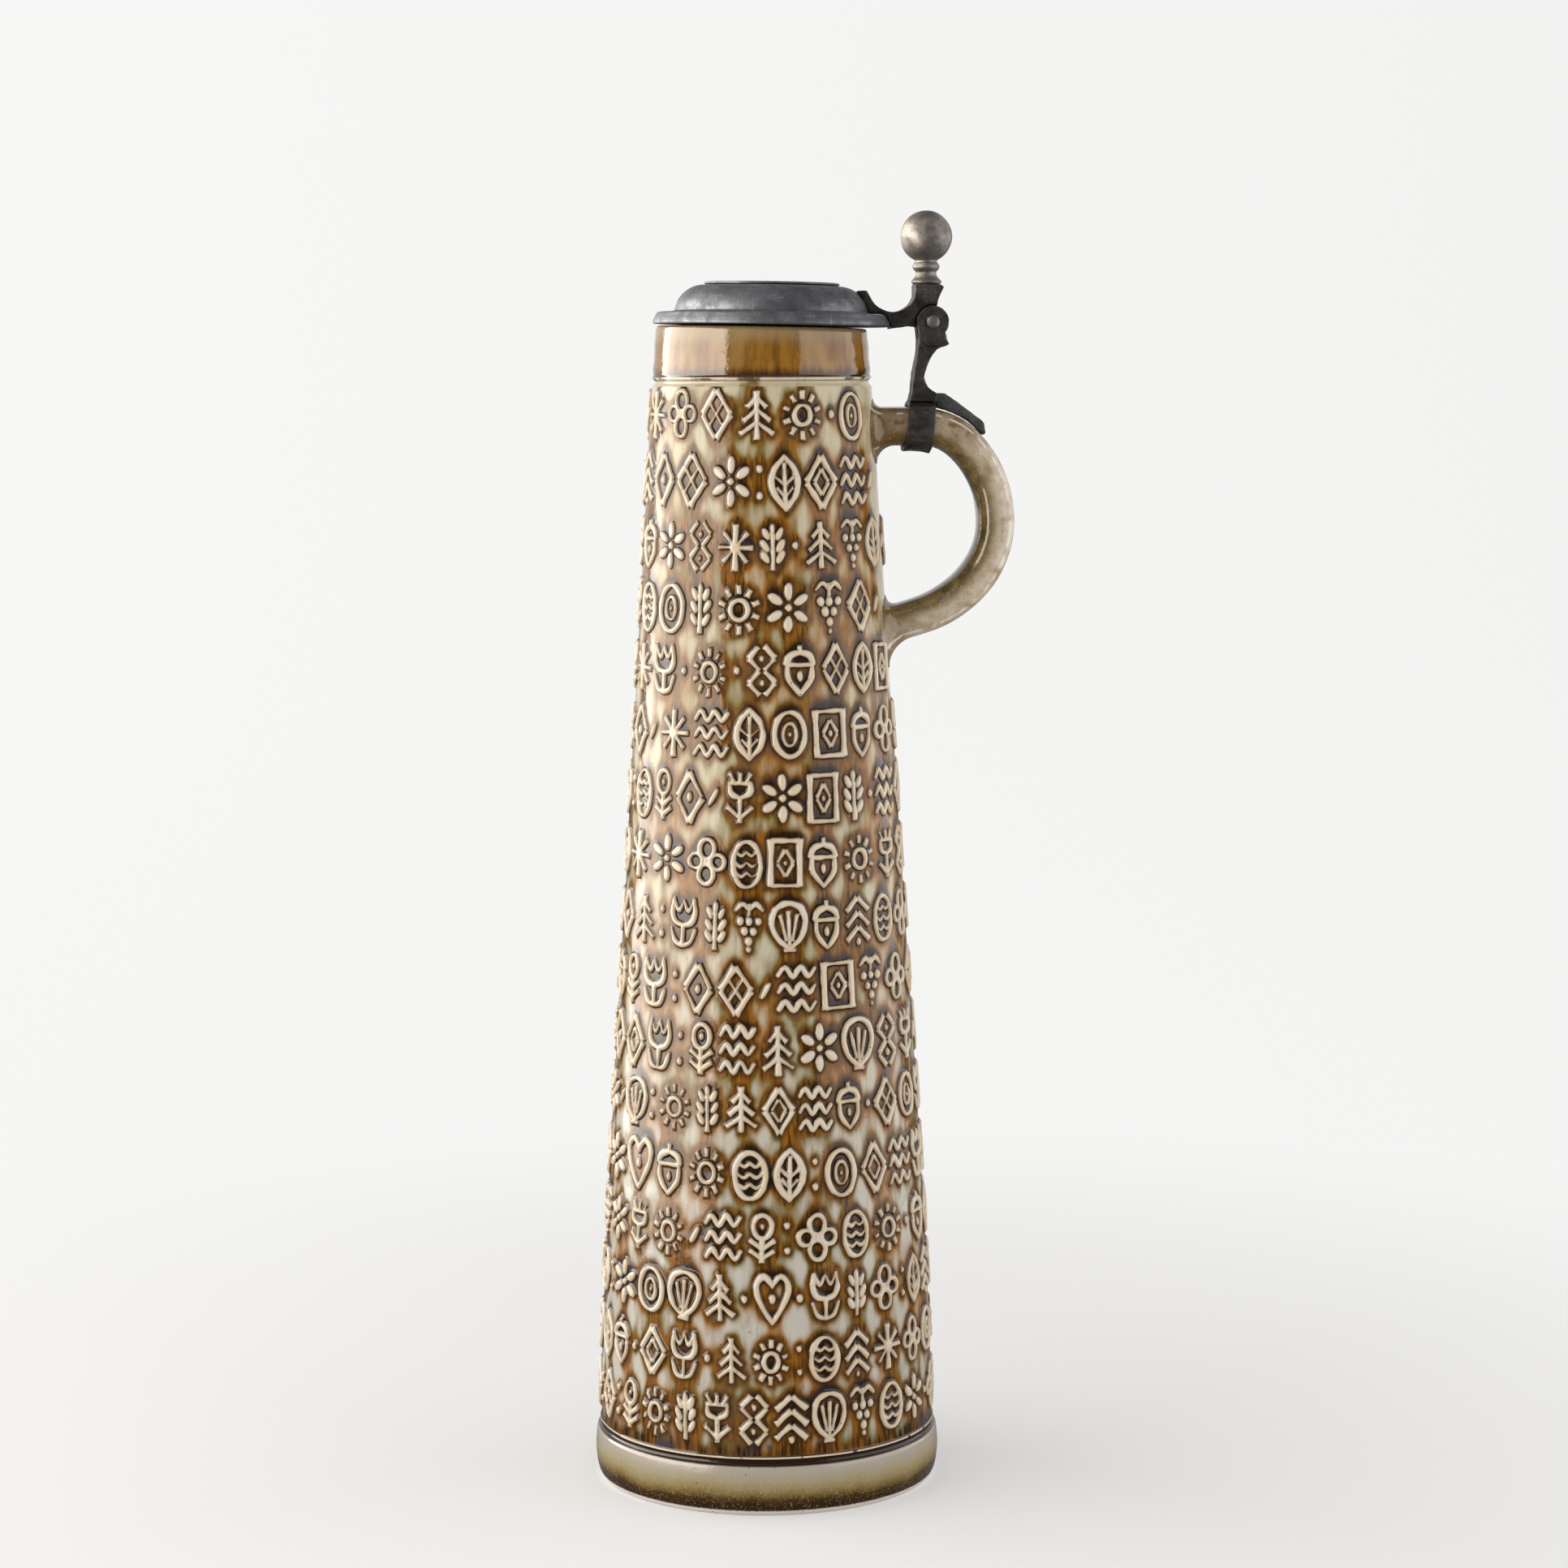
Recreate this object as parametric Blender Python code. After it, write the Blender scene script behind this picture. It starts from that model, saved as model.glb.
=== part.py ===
# Lidded stoneware beer stein, about two litres.
#
# Frame: metres, +Z up. The stein's axis is Z, the origin is the centre of the
# flat base and the handle is toward +X. The lid hinge axis is parallel to Y.
#
# Pieces: a turned stoneware vessel and its pulled loop handle, a pewter lid
# (cast shell, soldered top disc, soldered hinge bracket, turned thumblift) and
# the pewter mounting on the handle (collar band, hinge strut, tail spur and
# hinge pin). Neighbouring pieces are kept FIT apart.

import math

import bmesh
import bpy
from mathutils import Vector

MM = 0.001

# ---------------------------------------------------------------- dimensions
# All lengths below are in millimetres.
FIT = 0.3                      # clearance between neighbouring pieces

# vessel
FOOT_R = 56.9                  # outside radius of the flat base
BASE_BAND_R = 58.8             # widest radius, on the rounded base band
BASE_BAND_Z = 9.0
GROOVE_Z = 17.2                # groove over the base band
LINE_Z = 19.6                  # thin raised line over the groove
FIELD_STATIONS = (             # (height, outside radius) of the tapering wall
    (21.0, 57.5), (55.0, 56.5), (99.0, 54.4), (183.0, 49.0),
    (267.0, 43.7), (349.0, 38.8), (371.5, 37.4))
NECK_GROOVE_Z = 373.2          # groove under the plain top band
NECK_GROOVE_R = 35.6
TOP_BAND_LOW_R = 36.8
TOP_BAND_HIGH_R = 35.7
RIM_Z = 390.8                  # top of the rim
RIM_R = 3.1                    # roundness of the rim
RIM_LIFT = 0.3                 # rise of the rim toward the lid
WALL = 6.3                     # wall thickness
FLOOR_T = 11.0                 # thickness of the vessel's bottom
FLOOR_FILLET = 9.0
BODY_SEGMENTS = 64

# handle
HANDLE_LINE = (                # centre line in the XZ plane
    (33.0, 358.0), (46.0, 358.1), (56.0, 357.8), (64.5, 354.6),
    (71.2, 348.2), (76.1, 339.9), (78.4, 330.5), (78.4, 321.0),
    (75.2, 311.6), (68.8, 303.6), (60.6, 297.5), (51.3, 293.8),
    (38.0, 290.4))
HANDLE_HALF_T = 6.4            # half thickness, in the plane of the loop
HANDLE_HALF_W = 10.0           # half width, along Y
HANDLE_STEPS = 3               # stations per centre line span
HANDLE_SECTION = 24

# lid
LID_X = 3.3                    # the lid sits a little toward the hinge
LID_Z = 391.7                  # underside of the flange, at the lid's middle
LID_TILT = 1.1                 # the closed lid touches down at the hinge side first
LID_FLANGE_R = 39.7
LID_FLANGE_TOP_R = 38.2
LID_FLANGE_H = 4.0
LID_DOME_R = 32.4
LID_DOME_TOP_R = 23.1
LID_TOP_Z = 404.9
LID_WALL = 2.1
DISC_R = 22.6
DISC_T = 0.75
DISC_CROWN = 0.3
LID_SEGMENTS = 64

# hinge
PIN_X, PIN_Z = 57.0, 392.7
PIN_R = 1.5
PIN_HEAD_R = 2.2
PIN_HEAD_T = 0.8
KNUCKLE_R = 5.4
KNUCKLE_CLEAR = 5.8            # cut that lets the knuckles turn
HOLE_R = PIN_R + 0.09          # running fit on the pin
CENTRE_LEAF = 1.35             # half width of the strut's middle leaf
LID_LEAF = (1.65, 4.35)        # the lid's two leaves
CHEEK_LEAF = (4.65, 7.2)       # the strut's outer leaves
BRACKET_HALF_W = 6.5
STRUT_HALF_W = 6.5

# thumblift
THUMB_X = 55.4
THUMB_Z = 405.4
BALL_R = 8.7
BALL_Z = 421.1

# collar band and tail spur on the handle
BAND_X0, BAND_X1 = 48.1, 57.1
BAND_LEAN = 0.11               # the collar leans with the curve of the strap
BAND_T = 1.8
SPUR_HALF_W = 3.6

BODY_COLOUR = (0.42, 0.31, 0.20)
HANDLE_COLOUR = (0.40, 0.33, 0.25)
PEWTER_DARK = (0.10, 0.095, 0.09)
PEWTER = (0.22, 0.22, 0.225)
PEWTER_BALL = (0.19, 0.185, 0.18)
PIN_COLOUR = (0.16, 0.155, 0.15)


# ------------------------------------------------------------------- helpers
def clear_scene():
    for ob in list(bpy.data.objects):
        bpy.data.objects.remove(ob, do_unlink=True)


def material(name, colour, roughness, metallic):
    mat = bpy.data.materials.new(name)
    mat.use_nodes = True
    node = mat.node_tree.nodes["Principled BSDF"]
    node.inputs["Base Color"].default_value = (*colour, 1.0)
    node.inputs["Roughness"].default_value = roughness
    node.inputs["Metallic"].default_value = metallic
    return mat


def add_object(name, verts, faces, mat=None, smooth=True, origin=(0.0, 0.0, 0.0)):
    """A mesh object from millimetre points, normals made consistent."""
    mesh = bpy.data.meshes.new(name)
    ox, oy, oz = origin
    mesh.from_pydata([((x - ox) * MM, (y - oy) * MM, (z - oz) * MM)
                      for x, y, z in verts], [], faces)
    bm = bmesh.new()
    bm.from_mesh(mesh)
    bmesh.ops.recalc_face_normals(bm, faces=bm.faces)
    if bm.calc_volume(signed=True) < 0.0:
        bmesh.ops.reverse_faces(bm, faces=bm.faces)
    bm.to_mesh(mesh)
    bm.free()
    for poly in mesh.polygons:
        poly.use_smooth = smooth
    ob = bpy.data.objects.new(name, mesh)
    ob.location = (ox * MM, oy * MM, oz * MM)
    bpy.context.scene.collection.objects.link(ob)
    if mat is not None:
        mesh.materials.append(mat)
    return ob


def revolve(profile, segments, centre_x=0.0):
    """Closed solid from (radius, height) points; ends at radius 0 are poles."""
    verts, faces, rings = [], [], []
    for r, z in profile:
        if r < 1e-6:
            rings.append([len(verts)])
            verts.append((centre_x, 0.0, z))
        else:
            ring = []
            for k in range(segments):
                a = 2.0 * math.pi * k / segments
                ring.append(len(verts))
                verts.append((centre_x + r * math.cos(a), r * math.sin(a), z))
            rings.append(ring)
    for lower, upper in zip(rings[:-1], rings[1:]):
        for k in range(segments):
            n = (k + 1) % segments
            if len(lower) == 1 and len(upper) > 1:
                faces.append((lower[0], upper[k], upper[n]))
            elif len(upper) == 1 and len(lower) > 1:
                faces.append((lower[k], lower[n], upper[0]))
            elif len(lower) > 1 and len(upper) > 1:
                faces.append((lower[k], lower[n], upper[n], upper[k]))
    return verts, faces


def prism(outline, y0, y1):
    """Closed solid: an XZ outline carried from y0 to y1."""
    n = len(outline)
    verts = [(x, y0, z) for x, z in outline] + [(x, y1, z) for x, z in outline]
    faces = [tuple(range(n)), tuple(range(2 * n - 1, n - 1, -1))]
    for k in range(n):
        m = (k + 1) % n
        faces.append((k, m, n + m, n + k))
    return verts, faces


def arc(cx, cz, r, a0, a1, steps):
    """Points on an XZ circle from angle a0 to a1 in degrees."""
    return [(cx + r * math.cos(math.radians(a0 + (a1 - a0) * k / steps)),
             cz + r * math.sin(math.radians(a0 + (a1 - a0) * k / steps)))
            for k in range(steps + 1)]


def catmull(points, steps):
    """Smooth curve through the points, `steps` pieces per span."""
    pts = [Vector(p) for p in points]
    pts = [2 * pts[0] - pts[1]] + pts + [2 * pts[-1] - pts[-2]]
    out = []
    for i in range(1, len(pts) - 2):
        p0, p1, p2, p3 = pts[i - 1], pts[i], pts[i + 1], pts[i + 2]
        for s in range(steps):
            t = s / steps
            out.append(0.5 * ((2 * p1) + (p2 - p0) * t
                              + (2 * p0 - 5 * p1 + 4 * p2 - p3) * t * t
                              + (3 * p1 - p0 - 3 * p2 + p3) * t ** 3))
    out.append(pts[-2])
    return out


def combine(target, other, operation):
    """Boolean `other` into `target`, then drop `other`."""
    mod = target.modifiers.new("combine", 'BOOLEAN')
    mod.operation = operation
    mod.solver = 'EXACT'
    mod.object = other
    bpy.context.view_layer.update()
    graph = bpy.context.evaluated_depsgraph_get()
    mesh = bpy.data.meshes.new_from_object(target.evaluated_get(graph))
    target.modifiers.clear()
    old = target.data
    target.data = mesh
    bpy.data.meshes.remove(old)
    bpy.data.objects.remove(other, do_unlink=True)


def tidy(ob, name, mat, smooth=False, angle=35.0):
    """Merge coincident points, dissolve flat edges, set material and shading."""
    bm = bmesh.new()
    bm.from_mesh(ob.data)
    bmesh.ops.remove_doubles(bm, verts=bm.verts, dist=0.02 * MM)
    bmesh.ops.dissolve_limit(bm, angle_limit=math.radians(0.5),
                             verts=bm.verts, edges=bm.edges)
    bmesh.ops.triangulate(bm, faces=[f for f in bm.faces if len(f.verts) > 4])
    bmesh.ops.recalc_face_normals(bm, faces=bm.faces)
    if bm.calc_volume(signed=True) < 0.0:
        bmesh.ops.reverse_faces(bm, faces=bm.faces)
    limit = math.radians(angle)
    for edge in bm.edges:
        edge.smooth = len(edge.link_faces) == 2 and edge.calc_face_angle(0.0) < limit
    for face in bm.faces:
        face.smooth = True
    bm.to_mesh(ob.data)
    bm.free()
    ob.name = name
    ob.data.name = name
    ob.data.materials.clear()
    ob.data.materials.append(mat)
    return ob


def sharpen(ob, angle):
    """Keep real corners crisp on a smooth shaded piece."""
    bm = bmesh.new()
    bm.from_mesh(ob.data)
    limit = math.radians(angle)
    for edge in bm.edges:
        edge.smooth = edge.calc_face_angle(0.0) < limit
    bm.to_mesh(ob.data)
    bm.free()


# -------------------------------------------------------------------- vessel
def wall_radius(z):
    """Outside radius of the tapering wall at height z."""
    st = FIELD_STATIONS
    if z <= st[0][0]:
        return st[0][1]
    for (z0, r0), (z1, r1) in zip(st[:-1], st[1:]):
        if z <= z1:
            return r0 + (r1 - r0) * (z - z0) / (z1 - z0)
    return st[-1][1]


def tilt_lid(verts):
    """Lean points about the middle of the lid's underside, hinge side down."""
    c, s = math.cos(math.radians(LID_TILT)), math.sin(math.radians(LID_TILT))
    return [(LID_X + (x - LID_X) * c + (z - LID_Z) * s, y,
             LID_Z - (x - LID_X) * s + (z - LID_Z) * c) for x, y, z in verts]


def outer_profile():
    pts = [(FOOT_R - 0.9, 0.0), (FOOT_R + 0.3, 0.9), (BASE_BAND_R - 0.6, 4.2),
           (BASE_BAND_R, BASE_BAND_Z), (BASE_BAND_R - 0.2, 13.0),
           (BASE_BAND_R - 0.8, GROOVE_Z - 0.3), (BASE_BAND_R - 1.9, GROOVE_Z + 0.3),
           (BASE_BAND_R - 1.9, LINE_Z - 0.8), (BASE_BAND_R - 1.2, LINE_Z - 0.2),
           (BASE_BAND_R - 1.2, LINE_Z + 0.3)]
    pts += [(r, z) for z, r in FIELD_STATIONS]
    pts += [(NECK_GROOVE_R, NECK_GROOVE_Z - 0.9), (NECK_GROOVE_R, NECK_GROOVE_Z + 0.6),
            (TOP_BAND_LOW_R, NECK_GROOVE_Z + 1.3), (TOP_BAND_LOW_R - 0.5, 378.5),
            (TOP_BAND_HIGH_R, 386.5)]
    return pts


def rim_profile():
    """The rounded lip, from outside to inside."""
    cr = TOP_BAND_HIGH_R - RIM_R - 0.1
    cz = RIM_Z - RIM_R
    return [(cr + RIM_R * math.cos(math.radians(a)), cz + RIM_R * math.sin(math.radians(a)))
            for a in (0, 30, 60, 90, 120, 150, 180)]


def inner_profile():
    pts = []
    for z in (372.0, 349.0, 267.0, 183.0, 99.0, 55.0):
        pts.append((wall_radius(z) - WALL, z))
    low_r = wall_radius(30.0) - WALL - 1.0
    cz = FLOOR_T + FLOOR_FILLET
    cr = low_r - FLOOR_FILLET
    for a in (0, 22.5, 45, 67.5, 90):
        t = math.radians(a)
        pts.append((cr + FLOOR_FILLET * math.cos(t), cz - FLOOR_FILLET * math.sin(t)))
    return pts


def make_body():
    profile = [(0.0, 0.0)] + outer_profile() + rim_profile() + inner_profile() + [(0.0, FLOOR_T)]
    verts, faces = revolve(profile, BODY_SEGMENTS)
    # the mouth is not quite level: its rim follows the closed lid
    slope = math.tan(math.radians(LID_TILT))
    verts = [(x, y, z + (RIM_LIFT + (LID_X - x) * slope) * min(max((z - 380.0) / 8.0, 0.0), 1.0))
             for x, y, z in verts]
    ob = add_object("stoneware_body", verts, faces,
                    material("stoneware_glaze", BODY_COLOUR, 0.22, 0.0))
    sharpen(ob, 40.0)
    return ob


# -------------------------------------------------------------------- handle
def handle_section(half_t, half_w, count):
    """Rounded strap section: (across the strap, along Y)."""
    out = []
    power = 2.0 / 2.6
    for k in range(count):
        a = 2.0 * math.pi * k / count
        c, s = math.cos(a), math.sin(a)
        out.append((half_t * math.copysign(abs(c) ** power, c),
                    half_w * math.copysign(abs(s) ** power, s)))
    return out


def handle_frames():
    """(centre, outward normal, distance along) along the loop."""
    line = catmull(HANDLE_LINE, HANDLE_STEPS)
    out = []
    run = 0.0
    for i, p in enumerate(line):
        a = line[max(i - 1, 0)]
        b = line[min(i + 1, len(line) - 1)]
        t = (b - a).normalized()
        if i:
            run += (p - line[i - 1]).length
        out.append((p, Vector((-t.y, t.x)), run))
    return out


def make_handle():
    frames = handle_frames()
    total = frames[-1][2]
    verts, faces = [], []
    for p, n, run in frames:
        top = max(0.0, 1.0 - max(run - 3.0, 0.0) / 6.0)
        low = max(0.0, 1.0 - max(total - run - 6.0, 0.0) / 9.0)
        grow = 1.6 * top ** 2 + 3.2 * low ** 2
        for across, along in handle_section(HANDLE_HALF_T + grow,
                                            HANDLE_HALF_W + 0.9 * grow, HANDLE_SECTION):
            verts.append((p.x + n.x * across, along, p.y + n.y * across))
    m = HANDLE_SECTION
    count = len(frames)
    for i in range(count - 1):
        for k in range(m):
            j = (k + 1) % m
            faces.append((i * m + k, i * m + j, (i + 1) * m + j, (i + 1) * m + k))
    faces.append(tuple(range(m)))
    faces.append(tuple(range((count - 1) * m, count * m)))
    ob = add_object("handle_blank", verts, faces)
    # seat the two ends on the vessel, FIT clear of its wall
    cut = [(0.0, 240.0), (wall_radius(240.0) + FIT + 0.05, 240.0)]
    cut += [(r + FIT + 0.05, z) for z, r in FIELD_STATIONS if z > 240.0]
    cut += [(wall_radius(371.5) + FIT, 385.0), (0.0, 385.0)]
    cv, cf = revolve(cut, 96)
    combine(ob, add_object("seat_cut", cv, cf), 'DIFFERENCE')
    return tidy(ob, "stoneware_handle", material("handle_glaze", HANDLE_COLOUR, 0.25, 0.0))


# ----------------------------------------------------------------------- lid
def lid_outer():
    top = LID_Z + LID_FLANGE_H
    pts = [(LID_FLANGE_R, LID_Z), (LID_FLANGE_R, LID_Z + 0.5), (LID_FLANGE_TOP_R, top),
           (LID_DOME_R + 0.5, top + 0.35), (LID_DOME_R, top + 0.7)]
    rise = LID_TOP_Z - (top + 0.7)
    run = LID_DOME_R - LID_DOME_TOP_R
    for k in range(1, 7):
        a = math.radians(90.0 * k / 6.0)
        pts.append((LID_DOME_R - run * (1.0 - math.cos(a)),
                    top + 0.7 + rise * math.sin(a) ** 1.2))
    return pts


def lid_inner():
    low_r = LID_DOME_R - LID_WALL - 0.4
    pts = [(low_r, LID_Z), (low_r, LID_Z + LID_FLANGE_H)]
    z0 = LID_Z + LID_FLANGE_H
    rise = LID_TOP_Z - LID_WALL - z0
    run = low_r - LID_DOME_TOP_R + 2.5
    for k in range(1, 5):
        a = math.radians(90.0 * k / 4.0)
        pts.append((low_r - run * (1.0 - math.cos(a)), z0 + rise * math.sin(a) ** 1.2))
    return pts


def make_lid_shell():
    inner = lid_inner()
    profile = [(0.0, LID_TOP_Z)] + lid_outer()[::-1] + inner + [(0.0, inner[-1][1])]
    verts, faces = revolve(profile, LID_SEGMENTS, LID_X)
    ob = add_object("lid_shell", tilt_lid(verts), faces,
                    material("pewter_lid", PEWTER, 0.34, 1.0),
                    origin=(PIN_X, 0.0, PIN_Z))
    sharpen(ob, 40.0)
    return ob


def make_lid_disc():
    z = LID_TOP_Z + FIT
    profile = [(0.0, z), (DISC_R, z), (DISC_R, z + DISC_T * 0.65), (DISC_R - 0.4, z + DISC_T),
               (DISC_R * 0.7, z + DISC_T + DISC_CROWN * 0.5), (0.0, z + DISC_T + DISC_CROWN)]
    verts, faces = revolve(profile, 48, LID_X)
    ob = add_object("lid_top_disc", tilt_lid(verts), faces,
                    material("pewter_disc", PEWTER, 0.32, 1.0),
                    origin=(PIN_X, 0.0, PIN_Z))
    sharpen(ob, 40.0)
    return ob


def leaf(outline, y0, y1):
    verts, faces = prism(outline, y0, y1)
    return add_object("leaf", verts, faces)


def turning_cut():
    verts, faces = prism(arc(PIN_X, PIN_Z, KNUCKLE_CLEAR, 0.0, 360.0 - 7.5, 47), -9.0, 9.0)
    return add_object("turning_cut", verts, faces)


def pin_hole():
    verts, faces = prism(arc(PIN_X, PIN_Z, HOLE_R, 0.0, 360.0 - 11.25, 31), -10.0, 10.0)
    return add_object("pin_hole", verts, faces)


def make_bracket():
    """Tab on the dome, plate over the flange, post and the lid's two leaves."""
    outline = [(30.9, 403.0), (34.9, 403.1)]
    # hollow sweep from the tab down to the plate and up to the post
    outline += arc(43.6, 404.0, 8.0, 198.0, 338.0, 12)[1:]
    outline += [(51.0, 405.1), (59.9, 405.1), (60.8, 404.3)]
    outline += [(59.4, 401.4), (58.6, 399.6), (58.6, 392.0)]
    outline += [(49.0, 391.3), (45.5, 390.9), (41.6, 390.3), (36.0, 390.3), (30.9, 398.0)]
    verts, faces = prism(outline, -BRACKET_HALF_W, BRACKET_HALF_W)
    ob = add_object("bracket_blank", verts, faces)
    combine(ob, turning_cut(), 'DIFFERENCE')
    # seat on the lid, FIT clear of its flange and dome
    seat = [(0.0, LID_Z - 4.0), (LID_FLANGE_R + FIT, LID_Z - 4.0)]
    seat += [(r + FIT, z + (0.0 if k < 2 else FIT)) for k, (r, z) in enumerate(lid_outer())]
    seat += [(0.0, LID_TOP_Z + FIT)]
    cv, cf = revolve(seat, 96, LID_X)
    combine(ob, add_object("lid_seat", tilt_lid(cv), cf), 'DIFFERENCE')
    knuckle = [(49.2, 391.35), (49.2, 397.6), (52.4, 401.2), (58.1, 401.2), (58.3, 398.2)]
    knuckle += arc(PIN_X, PIN_Z, KNUCKLE_R, 72.0, -162.0, 26)
    for side in (-1.0, 1.0):
        y = sorted((side * LID_LEAF[0], side * LID_LEAF[1]))
        combine(ob, leaf(knuckle, y[0], y[1]), 'UNION')
    combine(ob, pin_hole(), 'DIFFERENCE')
    return tidy(ob, "lid_bracket", material("pewter_bracket", PEWTER_DARK, 0.42, 1.0))


def make_thumblift():
    """Turned finial: foot flare, waist, collar ring, neck and ball."""
    z0 = THUMB_Z
    pts = [(0.0, z0), (4.9, z0), (5.05, z0 + 0.5), (4.7, z0 + 1.1), (3.8, z0 + 2.0),
           (3.4, z0 + 3.0), (3.45, z0 + 4.0), (4.1, z0 + 4.6), (4.45, z0 + 5.4),
           (4.45, z0 + 6.4), (4.1, z0 + 7.0), (3.7, z0 + 7.4)]
    start = math.degrees(math.asin(3.9 / BALL_R))
    for k in range(0, 13):
        a = math.radians(-90.0 + start + (180.0 - start) * k / 12.0)
        pts.append((max(BALL_R * math.cos(a), 0.0), BALL_Z + BALL_R * math.sin(a)))
    pts[-1] = (0.0, BALL_Z + BALL_R)
    verts, faces = revolve(pts, 32, THUMB_X)
    ob = add_object("thumblift_finial", verts, faces,
                    material("pewter_ball", PEWTER_BALL, 0.36, 1.0),
                    origin=(THUMB_X, 0.0, THUMB_Z))
    sharpen(ob, 40.0)
    return ob


# ------------------------------------------------------- mounting on the handle
def band_top():
    """Height of the collar band's outside top."""
    return 358.1 + HANDLE_HALF_T + FIT + BAND_T + 0.1


def make_strut():
    """Hinge strut: three leaves, back cusp, waisted shank and flared foot."""
    foot = band_top() + FIT
    outline = arc(PIN_X, PIN_Z, KNUCKLE_CLEAR + 0.3, 226.0, 318.0, 12)
    outline += [(61.75, 386.9), (62.6, 385.4), (62.0, 384.9), (59.8, 384.3), (58.4, 383.5),
                (57.1, 382.0), (56.1, 380.2), (55.2, 378.3), (54.5, 376.2), (54.2, 374.3),
                (54.5, 372.7), (55.5, 371.0), (56.9, 369.8), (58.4, 369.1), (58.2, foot)]
    outline += [(49.3, foot), (50.2, 369.6), (50.5, 372.9), (50.9, 376.0), (51.4, 379.0),
                (52.1, 382.0), (52.4, 385.4)]
    verts, faces = prism(outline, -STRUT_HALF_W, STRUT_HALF_W)
    ob = add_object("strut_blank", verts, faces)
    knuckle = arc(PIN_X, PIN_Z, KNUCKLE_R, -38.0, 202.0, 26)
    knuckle += [(52.5, 387.0), (55.0, 384.6), (58.2, 384.6), (61.3, 386.6)]
    combine(ob, leaf(knuckle, -CENTRE_LEAF, CENTRE_LEAF), 'UNION')
    for side in (-1.0, 1.0):
        y = sorted((side * CHEEK_LEAF[0], side * CHEEK_LEAF[1]))
        combine(ob, leaf(knuckle, y[0], y[1]), 'UNION')
    combine(ob, pin_hole(), 'DIFFERENCE')
    return tidy(ob, "hinge_strut", material("pewter_strut", PEWTER_DARK, 0.44, 1.0))


def handle_top(x):
    """Height of the handle's outside face over the middle of the strap."""
    best = None
    for p, n, _ in handle_frames():
        q = p + n * HANDLE_HALF_T
        if p.y > 330.0 and (best is None or abs(q.x - x) < abs(best.x - x)):
            best = q
            slope = -n.x / n.y if abs(n.y) > 1e-6 else 0.0
    return best.y + slope * (x - best.x)


def make_spur():
    """Tail bar that lies along the outside of the handle."""
    top = [(58.8, 369.0), (61.3, 369.0), (62.4, 368.3), (73.9, 359.9), (74.7, 358.8), (75.1, 355.6)]
    under = [(x, handle_top(x) + FIT + 0.15) for x in (74.3, 72.0, 69.5, 67.0, 64.5, 62.0, 60.2, 58.8)]
    verts, faces = prism(top + under, -SPUR_HALF_W, SPUR_HALF_W)
    ob = add_object("spur_blank", verts, faces)
    return tidy(ob, "handle_spur", material("pewter_spur", PEWTER_DARK, 0.42, 1.0))


def make_band():
    """Collar that wraps the handle strap under the strut."""
    count = HANDLE_SECTION
    verts, faces = [], []
    stations = []
    for k in range(4):
        x = BAND_X0 + (BAND_X1 - BAND_X0) * k / 3.0
        frames = handle_frames()
        (pa, na, _), (pb, nb, _) = min(
            ((frames[i], frames[i + 1]) for i in range(len(frames) // 2)
             if frames[i][0].x <= x <= frames[i + 1][0].x), key=lambda f: f[0][0].x)
        t = (x - pa.x) / (pb.x - pa.x)
        tilt = na.lerp(nb, t).normalized()
        # upright stations, stretched to the slope of the strap
        stations.append((pa.lerp(pb, t), Vector((0.0, 1.0 / tilt.y))))
    loops = []
    for grow, order in ((FIT + BAND_T, stations), (FIT + 0.05, stations[::-1])):
        for p, n in order:
            loop = []
            for across, along in handle_section(HANDLE_HALF_T + grow, HANDLE_HALF_W + grow, count):
                loop.append(len(verts))
                lift = n.y * across
                verts.append((p.x + BAND_LEAN * lift, along, p.y + lift))
            loops.append(loop)
    for a, b in zip(loops, loops[1:] + loops[:1]):
        for k in range(count):
            j = (k + 1) % count
            faces.append((a[k], a[j], b[j], b[k]))
    ob = add_object("handle_band", verts, faces,
                    material("pewter_band", PEWTER_DARK, 0.45, 1.0))
    sharpen(ob, 40.0)
    return ob


def make_pin():
    """Hinge pin with a riveted head at each end."""
    reach = CHEEK_LEAF[1] + FIT
    pts = [(0.0, -reach - PIN_HEAD_T), (PIN_HEAD_R - 0.5, -reach - PIN_HEAD_T),
           (PIN_HEAD_R, -reach - PIN_HEAD_T + 0.4), (PIN_HEAD_R, -reach), (PIN_R, -reach),
           (PIN_R, reach), (PIN_HEAD_R, reach), (PIN_HEAD_R, reach + PIN_HEAD_T - 0.4),
           (PIN_HEAD_R - 0.5, reach + PIN_HEAD_T), (0.0, reach + PIN_HEAD_T)]
    verts, faces = revolve(pts, 32)
    verts = [(PIN_X + x, z, PIN_Z + y) for x, y, z in verts]
    ob = add_object("hinge_pin", verts, faces,
                    material("pewter_pin", PIN_COLOUR, 0.4, 1.0),
                    origin=(PIN_X, 0.0, PIN_Z))
    sharpen(ob, 40.0)
    return ob


def main():
    clear_scene()
    make_body()
    make_handle()
    lid_parts = [make_lid_shell(), make_lid_disc(), make_bracket(), make_thumblift()]
    make_strut()
    make_spur()
    make_band()
    make_pin()
    # the lid turns about this empty, which lies on the pin's axis
    pivot = bpy.data.objects.new("lid_hinge_axis", None)
    pivot.location = (PIN_X * MM, 0.0, PIN_Z * MM)
    bpy.context.scene.collection.objects.link(pivot)
    bpy.context.view_layer.update()
    for ob in lid_parts:
        ob.parent = pivot
        ob.matrix_parent_inverse = pivot.matrix_world.inverted()


main()
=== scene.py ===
import math

import bmesh
import bpy
import numpy as np
from mathutils import Matrix, Vector


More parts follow.
